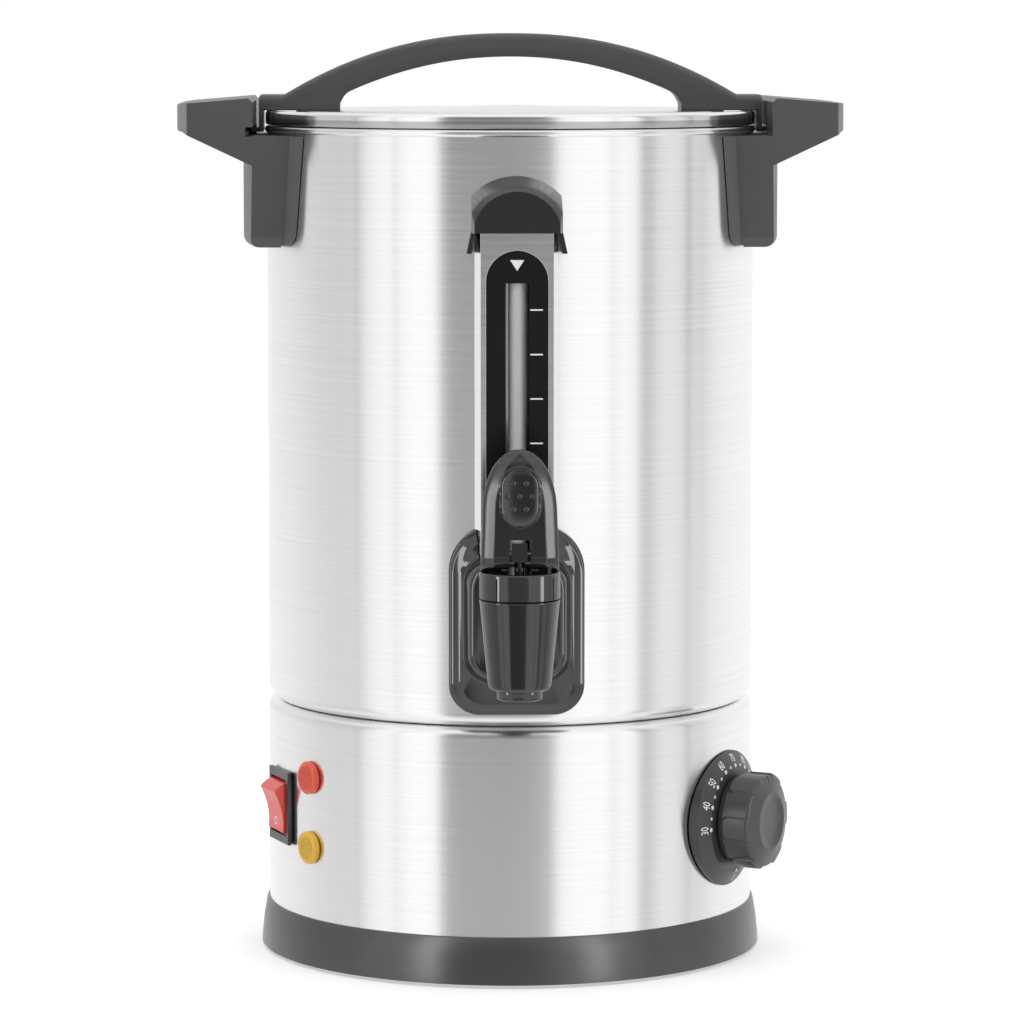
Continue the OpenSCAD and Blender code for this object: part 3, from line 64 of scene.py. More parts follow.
def add_node(tree, kind, inputs=(), **settings):
    """A new node; an input is linked where it is given a socket, and set where it is given a value."""
    made = tree.nodes.new(kind)
    for key, value in settings.items():
        setattr(made, key, value)
    for key, value in dict(inputs).items():
        if isinstance(value, bpy.types.NodeSocket):
            tree.links.new(value, made.inputs[key])
        else:
            made.inputs[key].default_value = value
    return made


def mix_colors(tree, share, first, second, blend="MIX"):
    """Colour that goes from the first to the second with the share."""
    made = add_node(tree, "ShaderNodeMix", {0: share, 6: first, 7: second}, data_type="RGBA",
                    blend_type=blend)
    return made.outputs[2]


class Look:
    """A Principled material with short ways to add nodes."""

    def __init__(self, name, color=(0.5, 0.5, 0.5), **sockets):
        self.mat = bpy.data.materials.new(name)
        self.mat.use_nodes = True
        self.tree = self.mat.node_tree
        self.bsdf = self.tree.nodes["Principled BSDF"]
        self.bsdf.inputs["Base Color"].default_value = (*color, 1)
        for key, value in sockets.items():
            self.bsdf.inputs[key.replace("_", " ")].default_value = value

    def node(self, kind, inputs=(), **settings):
        return add_node(self.tree, kind, inputs, **settings)

    def math(self, operation, a, b=0.0):
        return self.node("ShaderNodeMath", {0: a, 1: b}, operation=operation).outputs[0]

    def place(self, scale=(1, 1, 1)):
        """Position on the object, stretched."""
        coord = self.node("ShaderNodeTexCoord").outputs["Object"]
        return self.node("ShaderNodeMapping", {"Vector": coord, "Scale": scale}).outputs[0]

    def noise(self, vector, scale=1.0, detail=3.0, rough=0.55):
        return self.node("ShaderNodeTexNoise", {"Vector": vector, "Scale": scale,
                         "Detail": detail, "Roughness": rough}).outputs["Fac"]

    def ramp(self, fac, low, high, start=0.0, end=1.0):
        """Value from low to high while fac goes from start to end."""
        made = self.node("ShaderNodeMapRange", {"Value": fac, "From Min": start,
                         "From Max": end, "To Min": low, "To Max": high})
        return made.outputs[0]

    def tint(self, fac, dark, light):
        color = mix_colors(self.tree, fac, (*dark, 1), (*light, 1))
        self.tree.links.new(color, self.bsdf.inputs["Base Color"])

    def rough(self, fac):
        self.tree.links.new(fac, self.bsdf.inputs["Roughness"])

    def bump(self, height, strength, distance):
        made = self.node("ShaderNodeBump", {"Height": height, "Strength": strength,
                         "Distance": distance})
        self.tree.links.new(made.outputs[0], self.bsdf.inputs["Normal"])


def plastic(name, dark, light, rough, grain=0.0006, bump=0.12, ior=1.5):
    """Moulded plastic: fine spark-eroded grain and slightly uneven gloss."""
    look = Look(name, light, IOR=ior)
    fine = look.noise(look.place(), 1 / grain, 2)
    cloud = look.noise(look.place(), 18, 3)
    look.tint(cloud, dark, light)
    look.rough(look.ramp(cloud, rough * 0.88, rough * 1.14, 0.3, 0.7))
    look.bump(fine, bump, 0.00005)
    return look.mat


def brushed(name, around, dark, light, rough, anisotropy, streak=1700.0, painted_shade_band=None):
    """Metal with fine grain, around the body's axis or along X, and with painted shade: darker in a
    band of heights.
    """
    look = Look(name, light, Metallic=1.0, Anisotropic=anisotropy)
    scale = (7, 7, streak) if around else (12, streak, streak)
    grain = look.noise(look.place(scale), 1.0, 5, 0.65)
    broad = look.noise(look.place(tuple(s * 0.18 for s in scale)), 1.0, 3)
    mixed = look.math("ADD", look.math("MULTIPLY", grain, 0.65),
                      look.math("MULTIPLY", broad, 0.35))
    look.tint(look.ramp(mixed, 0, 1, 0.3, 0.7), dark, light)
    # Painted shade: the colour is darkened in the band, standing in for the darker reflection on the
    # lid's hem
    if painted_shade_band:
        foot, head = painted_shade_band
        shade = (0.58, 0.58, 0.58, 1)
        high = look.node("ShaderNodeSeparateXYZ", {0: look.place()}).outputs[2]
        in_shade_band = look.math("MULTIPLY", look.ramp(high, 0, 1, foot, foot + 0.0004),
                           look.ramp(high, 1, 0, head - 0.0006, head))
        base = look.bsdf.inputs["Base Color"]
        darker = mix_colors(look.tree, in_shade_band, base.links[0].from_socket, shade, "MULTIPLY")
        look.tree.links.new(darker, base)
    look.rough(look.ramp(mixed, rough - 0.035, rough + 0.05, 0.3, 0.7))
    look.bump(grain, 0.05, 0.00004)
    if anisotropy:
        turn = look.node("ShaderNodeTangent", direction_type="RADIAL", axis="Z")
        look.tree.links.new(turn.outputs[0], look.bsdf.inputs["Tangent"])
        look.bsdf.inputs["Anisotropic Rotation"].default_value = 0.25
    return look.mat


def polished(name, color, rough):
    """Bright metal with a faint haze."""
    look = Look(name, color, Metallic=1.0)
    haze = look.noise(look.place((30, 30, 400)), 1.0, 4)
    look.tint(haze, tuple(c * 0.93 for c in color), color)
    look.rough(look.ramp(haze, rough, rough + 0.06, 0.35, 0.65))
    return look.mat


def zinc(name, color, rough):
    """Plated or drawn metal with a cloudy, spangled surface."""
    look = Look(name, color, Metallic=1.0)
    spangle = look.node("ShaderNodeTexVoronoi", {"Vector": look.place(), "Scale": 160.0})
    cloud = look.noise(look.place(), 60, 4)
    look.tint(cloud, tuple(c * 0.8 for c in color), color)
    look.rough(look.ramp(spangle.outputs["Distance"], rough - 0.08, rough + 0.1, 0, 0.8))
    look.bump(cloud, 0.06, 0.0002)
    return look.mat


def clear(name, color, rough, ior, transmission, subsurface=0.0):
    """Glass, or plastic that light enters."""
    look = Look(name, color, IOR=ior, Transmission_Weight=transmission,
                Subsurface_Weight=subsurface, Subsurface_Scale=0.004)
    look.rough(look.ramp(look.noise(look.place(), 240, 3), rough, rough + 0.04, 0.3, 0.7))
    return look.mat


steel = brushed("brushed_steel_body", True, (0.865, 0.865, 0.86), (0.98, 0.98, 0.975), 0.215, 0.9,
                streak=2600.0)
# The lid's hem, from 416.5 to 420.2 mm up, gets painted shade
steel_lid = brushed("spun_steel_lid", True, (0.86, 0.86, 0.85), (0.95, 0.95, 0.945), 0.16, 0.55,
                    painted_shade_band=(0.4165, 0.4202))
steel_flat = brushed("brushed_steel_guard", False, (0.74, 0.74, 0.73), (0.9, 0.9, 0.89), 0.2, 0.0)
shine = polished("polished_steel", (0.93, 0.93, 0.92), 0.07)
zinc_plate = zinc("zinc_plated_steel", (0.62, 0.63, 0.65), 0.34)
satin = plastic("satin_black_plastic", (0.074, 0.074, 0.076), (0.09, 0.09, 0.092), 0.4)
pad_grey = plastic("pad_grey_plastic", (0.095, 0.095, 0.097), (0.125, 0.125, 0.127), 0.6,
                   grain=0.0008, bump=0.3)
ring_black = plastic("ring_black_plastic", (0.034, 0.034, 0.036), (0.042, 0.042, 0.044), 0.27,
                     ior=1.75)
knob_black = plastic("knob_black_plastic", (0.040, 0.040, 0.042), (0.052, 0.052, 0.054), 0.34,
                     ior=1.6)
gloss = plastic("gloss_black_plastic", (0.004, 0.004, 0.0045), (0.006, 0.006, 0.0065), 0.06,
                grain=0.002, bump=0.01, ior=1.75)
lever_black = plastic("lever_black_plastic", (0.006, 0.006, 0.0065), (0.010, 0.010, 0.0105),
                      0.2, grain=0.0005, ior=1.75)
strip_black = plastic("printed_black_strip", (0.003, 0.003, 0.003), (0.005, 0.005, 0.005), 0.3,
                      ior=1.4)
rubber = plastic("black_rubber", (0.018, 0.018, 0.018), (0.032, 0.032, 0.032), 0.75,
                 grain=0.0009, bump=0.4)
silicone_red = plastic("red_silicone", (0.42, 0.07, 0.03), (0.52, 0.1, 0.045), 0.5)
silicone = plastic("white_silicone", (0.72, 0.72, 0.7), (0.82, 0.82, 0.8), 0.45)
nylon = plastic("natural_nylon", (0.66, 0.63, 0.55), (0.76, 0.73, 0.65), 0.4)
ceramic = plastic("glazed_ceramic", (0.72, 0.68, 0.6), (0.84, 0.8, 0.72), 0.22,
                  grain=0.001, bump=0.05)
lead_red = plastic("lead_cover", (0.4, 0.05, 0.035), (0.52, 0.075, 0.05), 0.5)
white_print = plastic("white_print", (0.86, 0.86, 0.86), (0.93, 0.93, 0.93), 0.5)
copper = zinc("drawn_copper", (0.82, 0.42, 0.27), 0.3)
brass = zinc("turned_brass", (0.85, 0.66, 0.3), 0.28)
aluminium = brushed("rolled_aluminium", False, (0.62, 0.63, 0.64), (0.78, 0.79, 0.8), 0.36, 0.0)
sheath = zinc("element_sheath", (0.36, 0.35, 0.34), 0.5)
glass = clear("sight_glass", (0.96, 0.98, 0.98), 0.03, ior=1.47, transmission=0.6)
red = clear("red_rocker_plastic", (0.78, 0.035, 0.02), 0.16, ior=1.7, transmission=0.0,
            subsurface=0.35)
lens_red = clear("red_lens_plastic", (0.97, 0.12, 0.06), 0.06, ior=1.6, transmission=0.12,
                 subsurface=0.3)
lens_amber = clear("amber_lens_plastic", (1.0, 0.56, 0.05), 0.06, ior=1.6, transmission=0.12,
                   subsurface=0.3)


# ---------------------------------------------------------------- mesh tools

def linked(name, data):
    """A new object in the scene."""
    obj = bpy.data.objects.new(name, data)
    bpy.context.scene.collection.objects.link(obj)
    return obj


def smooth(mesh, sharp=None):
    """Smooth shading; edges over the sharp angle, in degrees, stay hard."""
    mesh.polygons.foreach_set("use_smooth", [True] * len(mesh.polygons))
    if sharp:
        mesh.set_sharp_from_angle(angle=math.radians(sharp))


def mesh_object(name, verts, faces, sharp=35):
    """A new object from points in millimetres, with its faces turned outwards."""
    mesh = bpy.data.meshes.new(name)
    mesh.from_pydata([tuple(c * MM for c in v) for v in verts], [], faces)
    bm = bmesh.new()
    bm.from_mesh(mesh)
    bmesh.ops.recalc_face_normals(bm, faces=bm.faces)
    bm.to_mesh(mesh)
    bm.free()
    smooth(mesh, sharp)
    return linked(name, mesh)


def settle(obj, look, body, slot, *nodes):
    """Gives the piece its material and body, and hides the CAD nodes that it stands for; the slot is
    not used.
    """
    obj.data.materials.clear()
    obj.data.materials.append(look)
    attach(obj, body)
    if nodes:
        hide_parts(*nodes)
    return obj


def arc(cx, cz, r, a0, a1, n):
    """Points of an arc from angle a0 to a1, in degrees, in n steps."""
    return [(cx + r * math.cos(math.radians(a0 + (a1 - a0) * i / n)),
             cz + r * math.sin(math.radians(a0 + (a1 - a0) * i / n))) for i in range(n + 1)]


def lathe(name, profile, steps=256, sharp=35, at=(0, 0)):
    """Closed profile of (radius, z) turned about a vertical line; a point on the line stays one."""
    verts, faces, rings = [], [], []
    for r, z in profile:
        if r < 1e-6:
            rings.append([len(verts)] * steps)
            verts.append((at[0], at[1], z))
        else:
            rings.append(list(range(len(verts), len(verts) + steps)))
            verts += [(at[0] + r * math.cos(2 * math.pi * k / steps),
                       at[1] + r * math.sin(2 * math.pi * k / steps), z) for k in range(steps)]
    for a, b in zip(rings, rings[1:] + rings[:1]):
        for k in range(steps):
            n = (k + 1) % steps
            face = [a[k], a[n], b[n], b[k]]
            face = [v for i, v in enumerate(face) if v not in face[:i]]
            if len(face) > 2:
                faces.append(face)
    return mesh_object(name, verts, faces, sharp)


def loft(name, rings, sharp=35, cap=(True, True)):
    """Rings of the same number of points, joined in order."""
    n = len(rings[0])
    verts = [v for ring in rings for v in ring]
    faces = [[i * n + k, i * n + (k + 1) % n, (i + 1) * n + (k + 1) % n, (i + 1) * n + k]
             for i in range(len(rings) - 1) for k in range(n)]
    if cap[0]:
        faces.append(list(range(n)))
    if cap[1]:
        faces.append([(len(rings) - 1) * n + k for k in range(n)])
    return mesh_object(name, verts, faces, sharp)


def facing(az, z=0.0):
    """Matrix from a side frame (x across, y up, z outwards, mm) to the object's frame (mm)."""
    return (Matrix.Rotation(math.radians(az), 4, "Z") @ Matrix.Translation((0, 0, z))
            @ Matrix.Rotation(math.radians(90), 4, "X"))


def moved(verts, matrix):
    """The points, each taken through the matrix."""
    return [tuple(matrix @ Vector(v)) for v in verts]


def soft(node, name, width, segments=3, angle=32, weight=None):
    """A copy of a CAD node's mesh with rounded edges, to stand for the node.

    Edges sharper than the angle get the width, or what weight gives for their middle, in mm.
    """
    bm = bmesh.new()
    bm.from_mesh(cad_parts[node].data)
    bmesh.ops.remove_doubles(bm, verts=bm.verts, dist=3e-6)
    bmesh.ops.dissolve_limit(bm, angle_limit=math.radians(0.7), verts=bm.verts, edges=bm.edges)
    mesh = bpy.data.meshes.new(name)
    if weight:
        layer = bm.edges.layers.float.new("bevel_weight_edge")
        for e in bm.edges:
            if len(e.link_faces) == 2 and math.degrees(e.calc_face_angle(0)) > angle:
                mid = (e.verts[0].co + e.verts[1].co) * 500
                e[layer] = weight(mid) / width
    bm.to_mesh(mesh)
    bm.free()
    if "custom_normal" in mesh.attributes:
        mesh.attributes.remove(mesh.attributes["custom_normal"])
    smooth(mesh)
    obj = linked(name, mesh)
    bevel = obj.modifiers.new("edges", "BEVEL")
    bevel.width = width * MM
    bevel.segments = segments
    bevel.limit_method = "WEIGHT" if weight else "ANGLE"
    bevel.angle_limit = math.radians(angle)
    bevel.use_clamp_overlap = True
    even = obj.modifiers.new("normals", "WEIGHTED_NORMAL")
    even.keep_sharp = True
    return obj


def cut(obj, *cutters):
    """Takes the cutters out of the object and keeps the result as its mesh."""
    for c in cutters:
        taken = obj.modifiers.new("cut", "BOOLEAN")
        taken.operation = "DIFFERENCE"
        taken.solver = "EXACT"
        taken.object = c
    bpy.context.view_layer.update()
    graph = bpy.context.evaluated_depsgraph_get()
    mesh = bpy.data.meshes.new_from_object(obj.evaluated_get(graph))
    obj.modifiers.clear()
    obj.data = mesh
    smooth(mesh, 40)
    for c in cutters:
        bpy.data.objects.remove(c)
    return obj


def block(name, low, high):
    """Box between two corners."""
    verts = [(x, y, z) for x in (low[0], high[0]) for y in (low[1], high[1])
             for z in (low[2], high[2])]
    faces = [(0, 1, 3, 2), (4, 6, 7, 5), (0, 4, 5, 1), (2, 3, 7, 6), (0, 2, 6, 4), (1, 5, 7, 3)]
    return mesh_object(name, verts, faces)


def joined(name, objects):
    """One object of several; their meshes are joined in place."""
    bm = bmesh.new()
    for o in objects:
        bpy.context.view_layer.update()
        mesh = o.data.copy()
        mesh.transform(o.matrix_world)
        bm.from_mesh(mesh)
        bpy.data.meshes.remove(mesh)
    mesh = bpy.data.meshes.new(name)
    bm.to_mesh(mesh)
    bm.free()
    for o in objects:
        bpy.data.objects.remove(o)
    smooth(mesh, 38)
    return linked(name, mesh)


# ---------------------------------------------------------------- body

def build_body():
    """Tank, skirt, base ring and lid, each turned from its section."""
    edge_r = 7
    edge = (TANK_R - edge_r, FLOOR_Z + edge_r)
    bead = arc(BEAD_MID, RIM_Z - BEAD_R, BEAD_R, -64, 244, 28)
    pan = [(91, FLOOR_Z), (88, FLOOR_Z + 3), (0, FLOOR_Z + 3)]
    wall = (arc(*edge, edge_r, -90, 0, 12) + bead + arc(*edge, edge_r - SHEET, 0, -90, 12)
            + [(91, FLOOR_Z + SHEET), (88, FLOOR_Z + 3.8), (0, FLOOR_Z + 3.8)] + pan[::-1])
    settle(lathe("tank_wall", wall, 288), steel, "urn", "steel_brushed", "tank")

    shoulder = (SKIRT_R - SHOULDER_R, FLOOR_Z - SHOULDER_R)
    skirt = ([(SKIRT_R, RING_TOP)] + arc(*shoulder, SHOULDER_R, 0, 90, 14)
             + [(109.3, FLOOR_Z), (109.3, FLOOR_Z - SHEET)]
             + arc(*shoulder, SHOULDER_R - SHEET, 90, 0, 10) + [(SKIRT_R - SHEET, RING_TOP)])
    settle(lathe("skirt_wall", skirt, 288), steel, "urn", "steel_brushed", "lower_shell")

    ring = ([(126.7, 1.8), (126.6, 4.0), (125.6, 14.6), (124.0, 23.6)]
            + arc(122.9, 24.1, 0.7, 0, 90, 4)
            + [(121.8, 24.8), (121.8, 31.8), (119.4, 31.8), (119.4, 22.4), (123.5, 13.2),
               (123.5, 8.6), (111.9, 8.6), (111.9, 6.2), (124.3, 6.2), (124.3, 1.8)])
    settle(lathe("base_ring_moulding", ring, 288), ring_black, "urn", "black_ring", "base_ring")

    dome_r, dome_h = 72, 2.5
    top = [(dome_r * i / 12, LID_TOP + dome_h * math.cos(math.pi * i / 24) ** 2) for i in range(13)]
    panel = top + [(105.6, LID_TOP)] + arc(106.6, LID_TOP - 1.2, 1.2, 90, 20, 4)
    panel += [(110.2, LID_TOP - 9.0), (111.2, LID_TOP - 10)]
    panel += arc(116.2, LID_TOP - 8.6, 1.4, -90, 0, 5)
    panel += arc(119.4, LID_TOP - 1.8, 1.8, 180, 90, 6) + arc(LID_R - 2, LID_TOP - 2, 2, 90, 0, 6)
    panel += arc(LID_R - 0.8, RIM_Z + 1.1, 0.8, 0, -180, 8)
    panel += [(LID_R - 1.6, LID_TOP - 2.2), (LID_R - 2.6, LID_TOP - 0.8), (119.2, LID_TOP - 1.0),
              (118.4, LID_TOP - 2), (118.4, LID_TOP - 8.8), (117.0, LID_TOP - 10.8),
              (110.8, LID_TOP - 10.8), (109.4, LID_TOP - 9.4), (106.2, LID_TOP - 1.2),
              (105.4, LID_TOP - SHEET)] + [(r, z - SHEET) for r, z in top[::-1]]
    settle(lathe("lid_pressing", panel, 288), steel_lid, "lid_assembly", "steel_brushed", "lid")


# ---------------------------------------------------------------- lid handle

def build_lid_handle():
    """Arch over the lid; its ends fold down past the rim and carry a locking lug each."""
    half, corner, tuck_in = 18.0, 3.2, 3.2
    top_reach, under_reach = 113.3, 85.4
    curl_x, curl_drop = 78, 4.2
    leg_x, leg_foot = 123.79, 413.0

    def top(a):
        return 431.3 if a >= top_reach else 461.9 - 30.6 * (a / top_reach) ** 2.246

    def under(a):
        return 450.2 - 19.5 * (a / under_reach) ** 2.09

    def crease(a):
        return max(454 - 6.7 * (a / 56) ** 2.2, 424.9)

    stations = [i * top_reach / 44 for i in range(45)] + [115, 118, 121, 123.78, 123.8, 124.8, 125.8]
    stations = sorted(set([round(s, 3) for s in stations] + [85.35, 85.45, 83.5, 87, 81]))
    stations = [-s for s in stations[::-1]] + stations[1:]
    rings = []
    for x in stations:
        a = abs(x)
        t, c = top(a), crease(a)
        b = under(a) if a < under_reach else LID_TOP
        if curl_x < a < 85.45:
            b = min(b, under(a) - curl_drop * ((a - curl_x) / 7.4) ** 4)
        if a >= leg_x:
            b = leg_foot
        if a > 125.7:
            t -= 1.0
        c = min(max(c, b + 1.0), t - 4.2)
        tuck = tuck_in if a < under_reach else tuck_in * max(0.0, (106 - a) / 20.6)
        side = arc(half - corner, t - corner, corner, 90, 0, 6)
        side += [(half, c + 0.8), (half - 0.25, c), (half - 0.25 - tuck * 0.55, (c + b) / 2 + 0.4),
                 (half - tuck - 0.1, b + 0.7), (half - tuck - 0.8, b)]
        rings.append([(x, y, z) for y, z in side] + [(x, -y, z) for y, z in side[::-1]])
    arch = loft("arch", rings, 50)
    lugs = [block("lug", (low_x, -14, leg_foot), (high_x, 14, leg_foot + 2))
            for low_x, high_x in ((125.2, 129.8), (-129.8, -125.2))]
    settle(joined("lid_handle_moulding", [arch] + lugs), satin, "lid_assembly", "black_satin",
           "lid_handle")


# ---------------------------------------------------------------- side handles

def build_side_handles():
    """CAD grips and pads with rounded edges."""
    widest = 3.4

    def weight(mid):
        """Radius of a grip's edge by its place: at the wall, in the slot, on top, or anywhere else."""
        x, y, z = abs(mid.x), abs(mid.y), mid.z
        if math.hypot(x, y) < 126.2:
            return 0.25
        if 411 < z < 416.6 and x < 131.8:
            return 0.35
        if x < 128.3 and z > 405:
            return 1.0
        return widest

    for side in ("left", "right"):
        grip = soft("side_handle_" + side, f"side_handle_{side}_moulding", widest, 5, 24, weight)
        settle(grip, satin, "urn", "black_satin", "side_handle_" + side)
        pad = soft("handle_pad_" + side, f"handle_pad_{side}_moulding", 0.8, 3, 40)
        settle(pad, pad_grey, "urn", "grey_pad", "handle_pad_" + side)


# ---------------------------------------------------------------- tap

def build_tap():
    """Cup, neck and gauge boss in one moulding, and the pieces around them."""
    at = (0, CUP_Y)

    def circle(r, out, steps=96):
        turns = [2 * math.pi * k / steps for k in range(steps)]
        return moved([(r * math.cos(a), r * math.sin(a), out) for a in turns], facing(0, TAP_Z))

    cup = ([(11.7, CUP_FOOT)] + arc(12.5, CUP_FOOT + 2.5, 2.5, -90, -8, 8)
           + [(15.4, CUP_FOOT + 4.5), (19.0, CUP_TOP - 1.4)] + arc(18.7, CUP_TOP - 0.7, 0.5, 0, 90, 4)
           + [(13.5, CUP_TOP - 0.2), (13.5, CUP_FOOT + 2.7), (11.7, CUP_FOOT + 2.7)])
    cup = lathe("cup", cup, 128, 40, at)
    neck_rows = ((10, 100.6), (10, 125.4), (15, 125.4), (15, 128.4), (13, 128.4), (13, 168))
    neck = loft("neck", [circle(r, out) for r, out in neck_rows], 40)
    boss = lathe("boss", [(3.05, TAP_Z), (8, TAP_Z), (8, 198.4), (7.4, 199), (5.75, 199),
                          (5.75, 189.5), (3.05, 189.5)], 64, 40, (0, GLASS_Y))
    settle(joined("tap_body_moulding", [cup, neck, boss]), gloss, "urn", "black_gloss", "tap_body")

    nozzle = ([(7.4, 149.6), (9.4, 149.6)] + arc(9.4, 151.2, 1.6, -90, 0, 6)
              + [(11, CUP_FOOT), (11.6, CUP_FOOT), (11.6, CUP_FOOT + 2.7), (13.4, CUP_FOOT + 2.7),
                 (13.4, CUP_FOOT + 4.7), (7, CUP_FOOT + 4.7), (7, 150.2)])
    settle(lathe("spout_nozzle_moulding", nozzle, 96, 40, at), gloss, "urn", "black_gloss",
           "tap_spout")

    build_collar()
    build_escutcheon()
    build_lever()


def build_collar():
    """Ring nut with eight thin grip grooves under a plain lip."""
    rows = [(COLLAR_TOP, 17.9, 0), (COLLAR_TOP - 0.25, 18.7, 0), (COLLAR_TOP - 0.9, 19.2, 0),
            (COLLAR_TOP - 2.1, 19.2, 0), (COLLAR_TOP - 2.5, 19.2, 1), (CUP_TOP + 0.5, 19.2, 1),
            (CUP_TOP + 0.3, 19.0, 0), (CUP_TOP, 18.7, 0), (CUP_TOP, 13.4, 0), (190, 13.4, 0),
            (190, 2.56, 0), (COLLAR_TOP, 2.56, 0)]
    pitch, first, deep = 45, 9.5, 0.6
    angles = []
    for i in range(8):
        mid = pitch * i + first - 90
        angles += [mid + off for off in (-2.0, -1.3, -0.6, 0.6, 1.3, 2.0)]
        angles += [mid + 2 + 41 * k / 10 for k in range(1, 10)]
    rings = []
    for z, r, grooved in rows:
        ring = []
        for a in angles:
            off = abs((a - first + 90 + pitch / 2) % pitch - pitch / 2)
            rr = r - (deep * min(1.0, max(0.0, (1.3 - off) / 0.7)) if grooved else 0)
            turn = math.radians(a)
            ring.append((rr * math.cos(turn), CUP_Y + rr * math.sin(turn), z))
        rings.append(ring)
    collar = loft("tap_collar_moulding", rings + rings[:1], 35, (False, False))
    settle(collar, gloss, "urn", "black_gloss", "tap_collar")


def rounded_ring(half, z0, z1, r0, r1, n=10):
    """Closed outline (x, z): corner radius r0 at the bottom and r1 at the top."""
    return (arc(half - r0, z0 + r0, r0, -90, 0, n) + arc(half - r1, z1 - r1, r1, 0, 90, n)
            + arc(-half + r1, z1 - r1, r1, 90, 180, n) + arc(-half + r0, z0 + r0, r0, 180, 270, n))


def build_escutcheon():
    """Cover plate that follows the tank, with a raised field and the notch for the gauge."""
    half, raised_half = 32.75, 25.5

    def level(inset, depth=None, follow=None):
        """Outline of the plate at a depth, or at a distance that follows the tank's wall."""
        ring = rounded_ring(half - inset, PLATE_FOOT + inset, PLATE_TOP - inset, 15 - inset * 0.6,
                            21.6 - inset * 0.6)
        return [(x, -(depth if depth else math.sqrt((TANK_R + follow) ** 2 - x * x)), z)
                for x, z in ring]

    def raised(inset, depth):
        """Outline of the raised field at a depth."""
        ring = rounded_ring(raised_half - inset, RAISED_FOOT + inset, RAISED_TOP - inset,
                            13 - inset * 0.5, 15 - inset * 0.5)
        return [(x, -depth, z) for x, z in ring]

    rings = [raised(4.6, TANK_R + 22.3), raised(2.2, TANK_R + 7.5), level(2.4, TANK_R + 4.0),
             level(2.2, None, 0.12), level(0, None, 0.12), level(0, TANK_R + 4.3),
             level(0.25, TANK_R + 5.1), level(0.9, TANK_R + 5.6), level(1.9, TANK_R + 5.9),
             level(2.4, TANK_R + 6.4), level(5.2, TANK_R + 8.6), level(5.9, TANK_R + 9.0),
             raised(-1.3, TANK_R + 10.1), raised(-0.5, TANK_R + 10.9), raised(0.1, TANK_R + 12.6),
             raised(1.9, TANK_R + 20.5), raised(2.5, TANK_R + 22.6), raised(3.7, TANK_R + 24.1),
             raised(5.2, TANK_R + 24.5)]
    plate = loft("escutcheon", rings, 50)
    section = [(-20.4, -110), (20.4, -110), (20.4, -123.5), (17.8, -136.4), (-17.8, -136.4),
               (-20.4, -123.5)]
    notch = loft("notch", [[(x, y, z) for x, y in section] for z in (204.2, 240)])
    settle(cut(plate, notch), gloss, "urn", "black_gloss", "tap_escutcheon")


